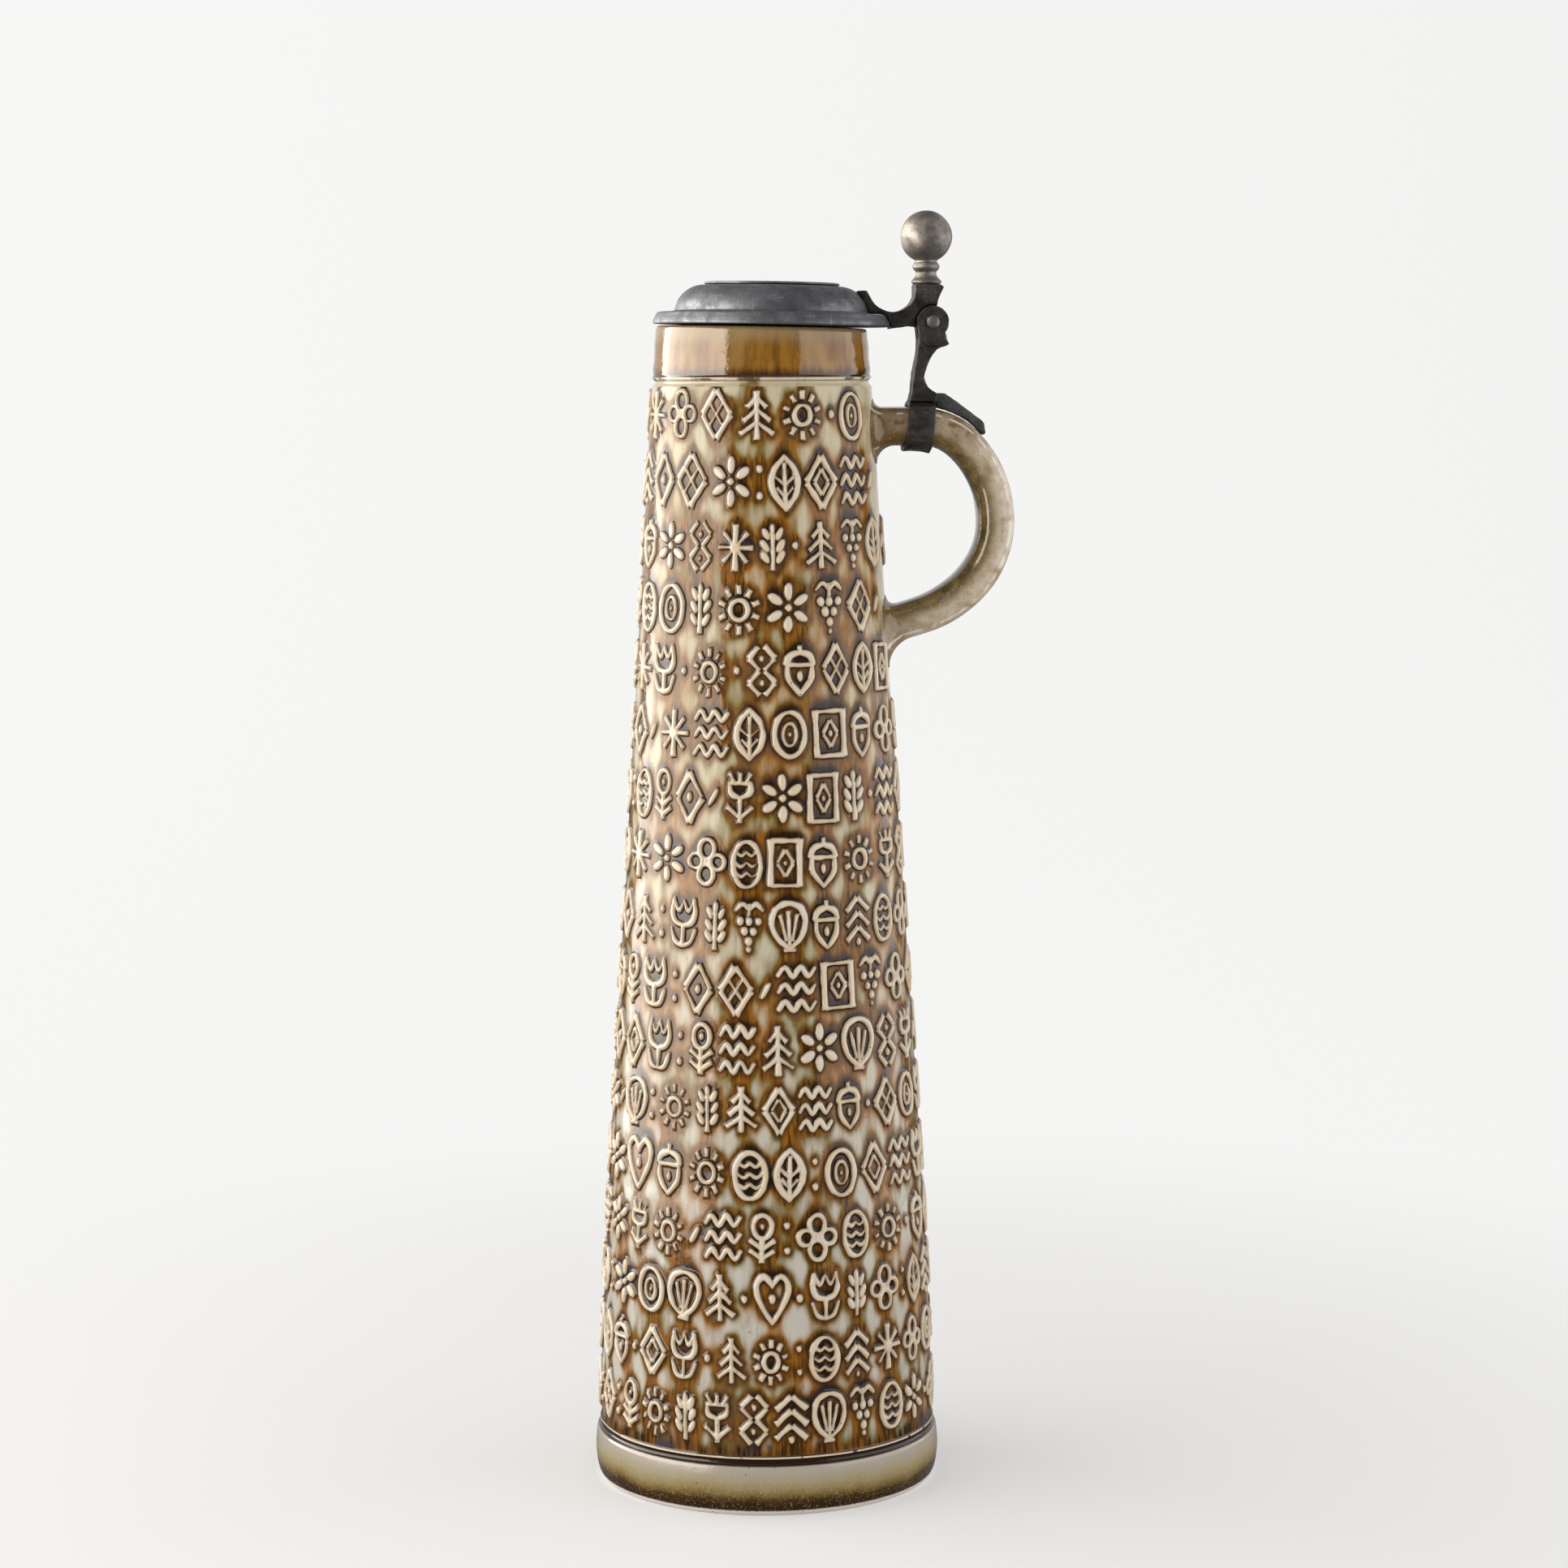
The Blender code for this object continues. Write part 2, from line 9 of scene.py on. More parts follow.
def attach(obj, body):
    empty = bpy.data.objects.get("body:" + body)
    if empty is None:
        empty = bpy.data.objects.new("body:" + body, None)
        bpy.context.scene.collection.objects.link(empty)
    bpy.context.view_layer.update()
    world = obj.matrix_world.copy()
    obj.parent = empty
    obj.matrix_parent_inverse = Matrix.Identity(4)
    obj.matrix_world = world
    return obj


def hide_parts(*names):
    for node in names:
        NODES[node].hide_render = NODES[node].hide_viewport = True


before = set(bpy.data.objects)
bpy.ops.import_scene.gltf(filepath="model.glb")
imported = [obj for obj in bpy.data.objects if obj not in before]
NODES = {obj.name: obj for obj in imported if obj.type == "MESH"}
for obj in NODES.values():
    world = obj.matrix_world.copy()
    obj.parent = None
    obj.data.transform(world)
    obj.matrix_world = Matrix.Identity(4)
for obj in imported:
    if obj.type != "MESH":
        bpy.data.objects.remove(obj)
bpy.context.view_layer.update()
MM = 0.001
scene = bpy.context.scene
scene.view_settings.view_transform = 'Standard'


# =====================================================================
# mesh helpers (all lengths in millimetres until a mesh is written)
# =====================================================================
def write_mesh(name, verts, quads, tris, mat):
    """A smooth shaded closed mesh from arrays, outward facing."""
    verts = np.asarray(verts, float)
    quads = np.asarray(quads, np.int64).reshape(-1, 4)
    tris = np.asarray(tris, np.int64).reshape(-1, 3)
    every = np.concatenate([quads[:, [0, 1, 2]], quads[:, [0, 2, 3]], tris])
    a, b, c = verts[every[:, 0]], verts[every[:, 1]], verts[every[:, 2]]
    if np.einsum('ij,ij->i', a, np.cross(b, c)).sum() < 0:
        quads, tris = quads[:, ::-1], tris[:, ::-1]
    mesh = bpy.data.meshes.new(name)
    loops = np.concatenate([quads.ravel(), tris.ravel()]).astype(np.int32)
    starts = np.concatenate([np.arange(len(quads)) * 4,
                             len(quads) * 4 + np.arange(len(tris)) * 3]).astype(np.int32)
    mesh.vertices.add(len(verts))
    mesh.vertices.foreach_set("co", (verts * MM).astype(np.float32).ravel())
    mesh.loops.add(len(loops))
    mesh.loops.foreach_set("vertex_index", loops)
    mesh.polygons.add(len(starts))
    mesh.polygons.foreach_set("loop_start", starts)
    mesh.polygons.foreach_set("use_smooth", np.ones(len(starts), bool))
    mesh.update(calc_edges=True)
    mesh.validate()
    mesh.materials.append(mat)
    ob = bpy.data.objects.new(name, mesh)
    scene.collection.objects.link(ob)
    return ob


def loft(name, rings, mat):
    """Rings of equal length joined one after another; a ring of one point is a pole."""
    verts, quads, tris, starts = [], [], [], []
    total = 0
    for ring in rings:
        ring = np.asarray(ring, float).reshape(-1, 3)
        starts.append((total, len(ring)))
        total += len(ring)
        verts.append(ring)
    for (s0, n0), (s1, n1) in zip(starts[:-1], starts[1:]):
        n = max(n0, n1)
        k = np.arange(n)
        m = (k + 1) % n
        if n0 == n1:
            quads.append(np.stack([s0 + k, s0 + m, s1 + m, s1 + k], 1))
        elif n0 == 1:
            tris.append(np.stack([np.full(n, s0), s1 + m, s1 + k], 1))
        else:
            tris.append(np.stack([s0 + k, s0 + m, np.full(n, s1)], 1))
    quads = np.concatenate(quads) if quads else np.zeros((0, 4), int)
    tris = np.concatenate(tris) if tris else np.zeros((0, 3), int)
    return write_mesh(name, np.concatenate(verts), quads, tris, mat)


def store(ob, name, values):
    layer = ob.data.attributes.new(name, 'FLOAT', 'POINT')
    layer.data.foreach_set("value", np.asarray(values, np.float32).ravel())


def turned(profile, cols, centre=(0.0, 0.0)):
    """Rings of a turned piece from (radius, height) points."""
    a = np.arange(cols) * 2 * math.pi / cols
    out = []
    for r, z in profile:
        if r < 1e-4:
            out.append([(centre[0], centre[1], z)])
        else:
            out.append(np.stack([centre[0] + r * np.cos(a), centre[1] + r * np.sin(a),
                                 np.full(cols, z)], 1))
    return out


def resample(points, step):
    """A polyline cut into pieces of about one length, its own points kept."""
    out = [np.array(points[0], float)]
    for a, b in zip(points[:-1], points[1:]):
        a, b = np.array(a, float), np.array(b, float)
        n = max(1, int(math.ceil(np.linalg.norm(b - a) / step)))
        for k in range(1, n + 1):
            out.append(a + (b - a) * k / n)
    return np.array(out)


def soften(points, rounds):
    """Round a dense polyline's corners, its two ends kept."""
    p = points.copy()
    for _ in range(rounds):
        p[1:-1] = 0.25 * p[:-2] + 0.5 * p[1:-1] + 0.25 * p[2:]
    return p


def field_noise(rng, shape, sigma, wrap_rows=False):
    """Smooth random field of unit spread; columns wrap, sigma is in grid cells."""
    rows, cols = shape
    pad = rows if wrap_rows else rows + int(6 * sigma[0])
    n = rng.standard_normal((pad, cols))
    fy = np.fft.fftfreq(pad)[:, None]
    fx = np.fft.fftfreq(cols)[None, :]
    k = np.exp(-2 * math.pi ** 2 * ((fy * sigma[0]) ** 2 + (fx * sigma[1]) ** 2))
    out = np.real(np.fft.ifft2(np.fft.fft2(n) * k))[:rows]
    return (out - out.mean()) / (out.std() + 1e-9)


def blur(grid, sigma_rows, sigma_cols):
    """Gaussian blur; columns wrap and the end rows are carried on."""
    rows, cols = grid.shape
    pad = int(4 * sigma_rows) + 1
    g = np.concatenate([np.repeat(grid[:1], pad, 0), grid, np.repeat(grid[-1:], pad, 0)])
    fy = np.fft.fftfreq(g.shape[0])[:, None]
    fx = np.fft.fftfreq(cols)[None, :]
    k = np.exp(-2 * math.pi ** 2 * ((fy * sigma_rows) ** 2 + (fx * sigma_cols) ** 2))
    return np.real(np.fft.ifft2(np.fft.fft2(g) * k))[pad:pad + rows]


# =====================================================================
# relief ornament: generic motifs as distance fields, in millimetres
# =====================================================================
def bar(u, v, a, b, w, flare=0.32):
    """Straight stroke with ends that spread a little, like a cut stroke."""
    dx, dy = b[0] - a[0], b[1] - a[1]
    length = math.hypot(dx, dy)
    ex, ey = dx / length, dy / length
    s = (u - a[0]) * ex + (v - a[1]) * ey - length / 2
    t = np.abs(-(u - a[0]) * ey + (v - a[1]) * ex)
    k = np.clip(np.abs(s) * 2 / length, 0, 1)
    p = t - w / 2 * (1 + flare * k ** 4)
    q = np.abs(s) - length / 2
    return np.where((p > 0) & (q > 0), np.hypot(np.maximum(p, 0), np.maximum(q, 0)),
                    np.maximum(p, q))


def trail(u, v, points, w):
    """Curved stroke through points, swelling a little toward its middle."""
    pts = [np.array(p, float) for p in points]
    pts = [2 * pts[0] - pts[1]] + pts + [2 * pts[-1] - pts[-2]]
    fine = []
    for i in range(1, len(pts) - 2):
        for s in range(4):
            t = s / 4
            fine.append(0.5 * (2 * pts[i] + (pts[i + 1] - pts[i - 1]) * t
                               + (2 * pts[i - 1] - 5 * pts[i] + 4 * pts[i + 1] - pts[i + 2]) * t * t
                               + (3 * pts[i] - pts[i - 1] - 3 * pts[i + 1] + pts[i + 2]) * t ** 3))
    fine.append(pts[-2])
    best = np.full(u.shape, 99.0)
    n = len(fine) - 1
    for i, (a, b) in enumerate(zip(fine[:-1], fine[1:])):
        d = b - a
        t = np.clip(((u - a[0]) * d[0] + (v - a[1]) * d[1]) / max(d @ d, 1e-9), 0, 1)
        run = (i + t) / n
        half = w / 2 * (0.78 + 0.34 * np.sin(math.pi * run))
        best = np.minimum(best, np.hypot(u - a[0] - t * d[0], v - a[1] - t * d[1]) - half)
    return best


def turn_back(u, v, c, deg):
    a = math.radians(deg)
    x, y = u - c[0], v - c[1]
    return x * math.cos(a) + y * math.sin(a), -x * math.sin(a) + y * math.cos(a)


def spot(u, v, c, rx, ry, deg=0.0):
    x, y = turn_back(u, v, c, deg)
    k = np.sqrt((x / rx) ** 2 + (y / ry) ** 2) + 1e-6
    g = np.sqrt((x / rx ** 2) ** 2 + (y / ry ** 2) ** 2) / k + 1e-6
    return (k - 1) / g


def hoop(u, v, c, rx, ry, wide, thin, deg=0.0):
    """Oval ring, thick at its sides and thin at its top and bottom."""
    x, y = turn_back(u, v, c, deg)
    k = np.sqrt((x / rx) ** 2 + (y / ry) ** 2) + 1e-6
    g = np.sqrt((x / rx ** 2) ** 2 + (y / ry ** 2) ** 2) / k + 1e-6
    return np.abs((k - 1) / g) - (thin + (wide - thin) * np.abs(x / rx) / k) / 2


B, T, S, H = bar, trail, spot, hoop
# name: (width, mirrored, strokes); mirrored motifs are drawn for u >= 0 only
MOTIFS = {
    "lozenge": (12.0, False, [(B, (0, 8.2), (5.4, 0), 1.5), (B, (5.4, 0), (0, -8.2), 2.4),
                              (B, (0, -8.2), (-5.4, 0), 1.5), (B, (-5.4, 0), (0, 8.2), 2.4),
                              (S, (0, 0), 1.2, 1.8)]),
    "lozenges": (13.0, True, [(B, (0, 8.2), (6.0, 0), 2.1), (B, (6.0, 0), (0, -8.2), 2.1),
                              (B, (0, 4.1), (2.9, 0), 1.4), (B, (2.9, 0), (0, -4.1), 1.4)]),
    "rosette": (15.0, False, [(S, (0, 5.2), 1.6, 2.9), (S, (4.6, 2.7), 1.6, 2.9, -60),
                              (S, (4.6, -2.7), 1.6, 2.9, -120), (S, (0, -5.2), 1.6, 2.9),
                              (S, (-4.6, -2.7), 1.6, 2.9, 120), (S, (-4.6, 2.7), 1.6, 2.9, 60),
                              (S, (0, 0), 1.3, 1.3)]),
    "leaf": (11.5, True, [(T, [(0, -8.2), (3.6, -4.2), (4.9, 0.2), (3.4, 4.6), (0, 8.2)], 2.2),
                          (B, (0, -8.2), (0, 6.4), 1.5), (B, (0, -4.4), (3.2, -1.4), 1.1),
                          (B, (0, -0.8), (3.6, 2.0), 1.1)]),
    "ear": (10.0, True, [(B, (0, -8.2), (0, 5.0), 1.7), (S, (2.7, -3.4), 1.3, 2.5, -32),
                         (S, (2.8, 0.6), 1.3, 2.5, -32), (S, (2.4, 4.6), 1.2, 2.4, -26),
                         (S, (0, 6.4), 1.0, 2.0)]),
    "shell": (14.0, True, [(T, [(0, -7.4), (4.6, -3.6), (6.5, 1.4), (5.2, 5.9), (2.4, 7.7), (0, 8.2)], 2.2),
                           (B, (0, -6.6), (0, 5.6), 1.5), (B, (1.0, -5.0), (3.4, 4.4), 1.3),
                           (B, (-2.4, -7.9), (2.4, -7.9), 1.5)]),
    "star": (15.0, False, [(B, (0, -8.2), (0, 8.2), 2.3), (B, (-7.0, 0), (7.0, 0), 1.5),
                           (B, (-4.9, -5.2), (4.9, 5.2), 1.5), (B, (-4.9, 5.2), (4.9, -5.2), 1.5),
                           (S, (0, 0), 2.3, 2.3)]),
    "waves": (14.0, False, [(T, [(-6.6, y - 1.0), (-4.2, y + 1.7), (-1.4, y - 1.5), (1.4, y + 1.7),
                                 (4.2, y - 1.5), (6.6, y + 1.0)], 1.9) for y in (5.9, 0.2, -5.6)]),
    "casket": (13.5, True, [(B, (5.6, -8.2), (5.6, 8.2), 2.4), (B, (-5.6, 7.5), (5.6, 7.5), 1.5),
                            (B, (-5.6, -7.5), (5.6, -7.5), 1.5), (B, (0, 4.6), (3.1, 0), 1.5),
                            (B, (3.1, 0), (0, -4.6), 1.5), (S, (0, 0), 0.8, 1.1)]),
    "heart": (15.0, True, [(T, [(0, -8.2), (3.6, -3.4), (6.3, 1.6), (6.2, 5.8), (3.4, 8.0),
                                (0.6, 5.6), (0, 4.2)], 2.2), (S, (0, 0.2), 1.3, 1.8)]),
    "fir": (13.0, True, [(B, (0, -8.2), (0, 8.2), 1.9), (B, (0, 6.0), (3.4, 2.6), 1.6),
                         (B, (0, 2.0), (4.7, -1.8), 1.6), (B, (0, -2.2), (5.8, -6.2), 1.6)]),
    "cone": (12.5, True, [(H, (0, -0.2), 5.2, 7.6, 2.3, 1.5),
                          (T, [(0, 3.9), (2.0, 2.7), (4.4, 4.3)], 1.2),
                          (T, [(0, 0.5), (2.3, -0.9), (4.9, 1.0)], 1.2),
                          (T, [(0, -3.0), (2.1, -4.3), (4.2, -2.9)], 1.2)]),
    "chevrons": (12.5, True, [(B, (0, 8.2), (5.7, 3.4), 2.1), (B, (0, 3.2), (5.7, -1.6), 2.1),
                              (B, (0, -1.8), (5.7, -6.6), 2.1), (S, (0, -6.9), 1.1, 1.4)]),
    "tulip": (13.5, True, [(B, (0, -8.2), (0, -0.6), 1.8),
                           (T, [(0, -0.6), (3.6, 0.4), (5.2, 3.6), (4.6, 8.1)], 2.2),
                           (T, [(4.6, 8.1), (2.2, 4.4), (0, 7.9)], 1.5),
                           (T, [(0, -7.6), (3.4, -6.2), (5.4, -2.0)], 1.8)]),
    "rings": (14.0, False, [(H, (0, 0), 5.8, 7.4, 2.5, 1.5), (H, (0, 0), 2.5, 3.7, 1.5, 1.0),
                            (S, (0, 0), 0.7, 0.9)]),
    "grapes": (13.0, True, [(S, (0, 2.1), 1.5, 1.6), (S, (3.7, 2.1), 1.5, 1.6),
                            (S, (1.85, -1.3), 1.5, 1.6), (S, (0, -4.7), 1.5, 1.6),
                            (B, (0, 3.6), (0, 8.2), 1.5), (S, (0, -7.6), 0.9, 1.0),
                            (T, [(0, 5.8), (2.6, 8.0), (5.4, 5.9)], 1.7)]),
    "lattice": (13.5, False, [(B, (0, 8.2), (6.0, 0), 1.7), (B, (6.0, 0), (0, -8.2), 2.3),
                              (B, (0, -8.2), (-6.0, 0), 1.7), (B, (-6.0, 0), (0, 8.2), 2.3),
                              (B, (-3.0, 4.1), (3.0, -4.1), 1.1), (B, (-3.0, -4.1), (3.0, 4.1), 1.1)]),
    "sun": (16.0, False, [(H, (0, 0), 3.0, 3.2, 2.0, 1.5)] + [
        (B, (4.9 * math.cos(a), 5.1 * math.sin(a)), (7.4 * math.cos(a), 8.2 * math.sin(a)), 1.7)
        for a in [math.radians(k * 36 + 18) for k in range(10)]]),
    "thistle": (13.5, True, [(B, (0, -8.2), (0, 0.4), 1.8), (T, [(0, 0.2), (3.6, 1.6), (4.2, 4.6)], 2.0),
                             (B, (-4.6, 4.9), (4.6, 4.9), 1.4), (B, (0, 5.0), (0, 8.4), 1.5),
                             (B, (2.4, 5.2), (4.3, 8.2), 1.4), (B, (0, -6.4), (5.2, -2.6), 1.7)]),
    "acorn": (12.5, True, [(T, [(0, 5.9), (3.4, 4.9), (5.1, 2.2)], 2.4), (B, (-5.3, 1.7), (5.3, 1.7), 1.6),
                           (T, [(4.5, 1.4), (4.0, -3.4), (0, -8.1)], 2.0), (B, (0, 5.8), (0, 8.4), 1.7),
                           (S, (0, -2.2), 0.9, 1.7)]),
    "quatrefoil": (15.0, False, [(H, (0, 4.3), 2.9, 3.3, 1.9, 1.5), (H, (0, -4.3), 2.9, 3.3, 1.9, 1.5),
                                 (H, (4.2, 0), 2.7, 2.5, 1.9, 1.5), (H, (-4.2, 0), 2.7, 2.5, 1.9, 1.5),
                                 (S, (0, 0), 1.0, 1.0)]),
    "links": (11.5, True, [(B, (1.0, 8.3), (4.9, 4.1), 1.9), (B, (4.9, 4.1), (0.7, 0), 1.6),
                           (B, (0.7, 0), (4.9, -4.1), 1.9), (B, (4.9, -4.1), (1.0, -8.3), 1.6),
                           (S, (0, 4.1), 0.9, 1.2), (S, (0, -4.1), 0.9, 1.2)]),
    "bud": (10.5, True, [(B, (0, -8.2), (0, 1.0), 1.8), (H, (0, 4.2), 3.2, 3.9, 2.0, 1.5), (S, (0, 4.2), 0.9, 1.2),
                         (B, (0, -3.4), (4.4, -0.4), 1.7), (B, (0, -6.6), (4.4, -3.8), 1.7)]),
}
SPACERS = {
    "pip": (3.0, False, [(S, (0, 0.2), 1.1, 1.5)]),
    "pips": (3.0, False, [(S, (0, 4.2), 1.0, 1.3), (S, (0, -4.2), 1.0, 1.3)]),
    "grain": (4.0, False, [(S, (0, 0), 1.0, 3.2, -28)]),
}


def motif_field(spec, u, v):
    width, mirrored, strokes = spec
    best = np.full(u.shape, 99.0)
    for stroke in strokes:
        best = np.minimum(best, stroke[0](u, v, *stroke[1:]))
        if mirrored:
            best = np.minimum(best, stroke[0](-u, v, *stroke[1:]))
    return best


# rows of ornament: (height of the row's middle, row height)
ROWS = [(362.3, 16.4), (340.8, 17.2), (319.8, 15.8), (299.3, 16.8), (278.8, 16.1), (258.1, 16.2),
        (237.3, 16.7), (216.4, 16.2), (195.6, 16.0), (174.9, 16.1), (154.8, 16.8), (134.8, 15.4),
        (113.7, 16.6), (93.0, 16.1), (72.8, 15.8), (52.3, 15.6), (32.3, 16.2)]

# =====================================================================
# vessel
# =====================================================================
COLS = 760
FIELD_STEP = 0.5
RELIEF = 1.02
FIELD_LOW, FIELD_HIGH = 20.4, 371.6
STATIONS = [(12.0, 57.55), (21.0, 57.5), (55.0, 56.5), (99.0, 54.4), (183.0, 49.0),
            (267.0, 43.7), (349.0, 38.8), (371.5, 37.4), (382.0, 36.8)]


def smooth_wall():
    z = np.arange(0.0, 400.0, 0.5)
    r = np.interp(z, [s[0] for s in STATIONS], [s[1] for s in STATIONS])
    k = np.exp(-0.5 * (np.arange(-40, 41) * 0.5 / 8.0) ** 2)
    r = np.convolve(np.pad(r, 40, mode='edge'), k / k.sum(), 'valid')
    return z, r


WALL_Z, WALL_R = smooth_wall()


def wall(z):
    """Radius of the field between the raised strokes."""
    return np.interp(z, WALL_Z, WALL_R) - 0.58


def handle_roots():
    """Middle height and half height of the two places where the handle meets the wall."""
    line = smooth_line(LINE, 40)
    clear = np.abs(line[:, 0] - wall(line[:, 1]))
    found = []
    for upper, shift, half in ((True, -1.5, 8.5), (False, -3.0, 10.0)):
        pick = (line[:, 1] > 325.0) == upper
        found.append((float(line[pick][np.argmin(clear[pick]), 1]) + shift, half))
    return found


def relief_field(theta, zs):
    """Distance to the nearest raised stroke for every (height, angle)."""
    rng = np.random.default_rng(417)
    field = np.full((len(zs), len(theta)), 9.0)
    names = sorted(MOTIFS)
    last = None
    for row, (zc, tall) in enumerate(ROWS):
        radius = float(np.interp(zc, WALL_Z, WALL_R))
        around = 2 * math.pi * radius
        scale = tall / 16.6
        chosen, used = [], 0.0
        pool = []
        while True:
            if not pool:
                pool = [names[k] for k in rng.permutation(len(names))]
            name = pool.pop()
            if name == last:
                continue
            spec = MOTIFS[name]
            sx = scale * rng.uniform(0.84, 0.98)
            need = spec[0] * sx + 1.5
            if used + need > around + 4.0:
                break
            chosen.append((spec, sx, spec[0] * sx))
            used += need
            last = name
            if rng.random() < 0.2 and used + 6 < around:
                name_s = sorted(SPACERS)[rng.integers(len(SPACERS))]
                chosen.append((SPACERS[name_s], scale, SPACERS[name_s][0]))
                used += SPACERS[name_s][0] + 1.5
        gap = (around - sum(c[2] for c in chosen)) / len(chosen)
        at = rng.uniform(0, around)
        rows_in = np.where(np.abs(zs - zc) < 12.5)[0]
        for spec, sx, wide in chosen:
            middle = at + wide / 2
            at += wide + gap
            side = radius * math.sin(middle / radius)
            if math.cos(middle / radius) > 0 and abs(side) < 12.0 + wide / 2 and any(
                    abs(zc - z0) < half + tall / 2 for z0, half in handle_roots()):
                # the clay that joins the handle takes this place
                rng.uniform(size=2)
                continue
            lean = math.radians(rng.uniform(-1.6, 1.6))
            lift = rng.uniform(-0.25, 0.25) + 0.3 * math.sin(middle / around * 6.28 * 2 + row)
            d = (theta * radius - middle + around / 2) % around - around / 2
            cols_in = np.where(np.abs(d) < wide / 2 + 4.5)[0]
            u = d[cols_in][None, :] * np.ones((len(rows_in), 1))
            v = (zs[rows_in] - zc - lift)[:, None] * np.ones((1, len(cols_in)))
            uu = (u * math.cos(lean) + v * math.sin(lean)) / sx
            vv = (-u * math.sin(lean) + v * math.cos(lean)) / scale
            f = motif_field(spec, uu, vv) * min(sx, scale) + 0.17
            part = np.ix_(rows_in, cols_in)
            field[part] = np.minimum(field[part], f)
    return field


def make_vessel(mat):
    theta = np.arange(COLS) * 2 * math.pi / COLS
    zs = np.arange(FIELD_LOW, FIELD_HIGH + 1e-6, FIELD_STEP)
    rng = np.random.default_rng(31)
    cell = 2 * math.pi * 47 / COLS
    sdf = relief_field(theta, zs)
    wobble = field_noise(rng, sdf.shape, (1.1 / FIELD_STEP, 1.1 / cell))
    sdf = sdf + 0.10 * wobble
    # glaze hangs on the upper side of each stroke and runs up from it; the glaze shader darkens where this field is
    # high, as pooled glaze and painted shade
    inside = np.clip(0.5 - sdf / 0.5, 0, 1)
    hold = blur(inside, 0.5 / FIELD_STEP, 1.3 / cell)
    hold = np.clip(hold * 1.9 - 0.30, 0, 1.1)
    pool = np.zeros_like(hold)
    decay = math.exp(-FIELD_STEP / 3.4)
    run = np.full(hold.shape[1], 1.5)
    for k in range(len(zs)):
        run = np.maximum(run * decay, hold[k])
        pool[k] = run
    pool = blur(pool, 0.5 / FIELD_STEP, 0.7 / cell) * np.clip((sdf + 0.3) / 0.5, 0, 1)
    roof = np.zeros_like(hold)
    run = np.zeros(hold.shape[1])
    decay = math.exp(-FIELD_STEP / 3.5)
    for k in range(len(zs) - 1, -1, -1):
        run = np.maximum(run * decay, hold[k])
        roof[k] = run
    roof = blur(roof, 0.6 / FIELD_STEP, 0.9 / cell)
    open_ = 0.55 * blur(np.clip(sdf, 0, 2.6), 0.7 / FIELD_STEP, 0.4 / cell) / 2.6
    open_ += 0.45 * blur(np.clip(sdf, 0, 4.2), 2.2 / FIELD_STEP, 0.5 / cell) / 4.2
    # relief with soft shoulders
    t = np.clip((0.42 - sdf) / 0.84, 0, 1)
    height = RELIEF * (t * t * (3 - 2 * t))
    height += 0.10 * np.clip(-sdf / 1.0, 0, 1)
    fade = np.clip((zs - FIELD_LOW) / 1.2, 0, 1) * np.clip((FIELD_HIGH - zs) / 1.2, 0, 1)
    swell = field_noise(rng, sdf.shape, (7.0 / FIELD_STEP, 4.0 / cell))
    fine = field_noise(rng, sdf.shape, (1.6 / FIELD_STEP, 1.2 / cell))
    height = (height + 0.07 * swell + 0.025 * fine) * fade[:, None]

    foot = resample([(0.0, 0.0), (54.6, 0.0)], 12.0)
    low = soften(resample([(54.6, 0.0), (56.2, 0.0), (57.1, 0.8), (57.9, 2.6), (58.35, 4.6),
                           (58.75, 8.0), (58.8, 11.0), (58.55, 14.0), (58.25, 16.3), (57.9, 17.0),
                           (56.95, 17.5), (56.75, 18.2), (56.75, 18.9), (57.05, 19.2),
                           (57.5, 19.55), (57.05, 19.95), (56.9, 20.3), (56.92, FIELD_LOW)], 0.3), 3)
    field = np.stack([wall(zs), zs], 1)
    neck = soften(resample([(float(wall(FIELD_HIGH)), FIELD_HIGH), (36.1, 372.2), (35.75, 372.8),
                            (35.75, 373.3), (36.35, 373.75), (36.85, 374.15), (36.75, 374.7),
                            (36.3, 375.2), (36.35, 376.0), (36.5, 377.2), (36.25, 378.8),
                            (35.95, 381.0), (35.9, 385.0), (35.55, 387.6), (35.45, 389.6),
                            (35.1, 390.5), (34.2, 390.8), (32.0, 390.8), (30.6, 390.2),
                            (29.7, 389.0), (29.4, 387.0), (30.0, 380.0), (31.0, 372.0)], 0.4), 2)
    inner = resample([(31.0, 372.0), (32.4, 349.0), (37.4, 267.0), (42.7, 183.0), (48.0, 99.0),
                      (50.2, 55.0), (50.2, 20.0)], 9.0)
    bowl = [(41.2 + 9.0 * math.cos(a), 20.0 - 9.0 * math.sin(a))
            for a in np.linspace(0, math.pi / 2, 8)]
    base = resample([(41.2, 11.0), (0.0, 11.0)], 10.0)
    parts = [foot, low[1:], field[1:], neck[1:], inner[1:], np.array(bowl)[1:], base[1:]]
    profile = np.concatenate(parts)
    n_low = len(foot) + len(low) - 2          # index of the field's first row
    n_field = len(zs)
    # broken stretches in the raised line at the base
    broken = 0.5 + 0.5 * np.tanh(3 * (field_noise(rng, (1, COLS), (1, 9.0 / cell),
                                                  True)[0] + 1.0))
    gap_at = (np.degrees(theta) - 247.0 + 180) % 360 - 180
    broken = np.minimum(broken, 1 - np.exp(-(gap_at / 4.5) ** 4))
    c, s = np.cos(theta), np.sin(theta)
    rings = []
    for k, (r, z) in enumerate(profile):
        if r < 1e-4:
            rings.append([(0.0, 0.0, z)])
            continue
        rr = np.full(COLS, r)
        if n_low <= k < n_low + n_field:
            rr = rr + height[k - n_low]
        if 19.0 < z < 20.2 and k < n_low:
            line = max(0.0, r - 56.85)
            rr = rr - line * (1 - broken)
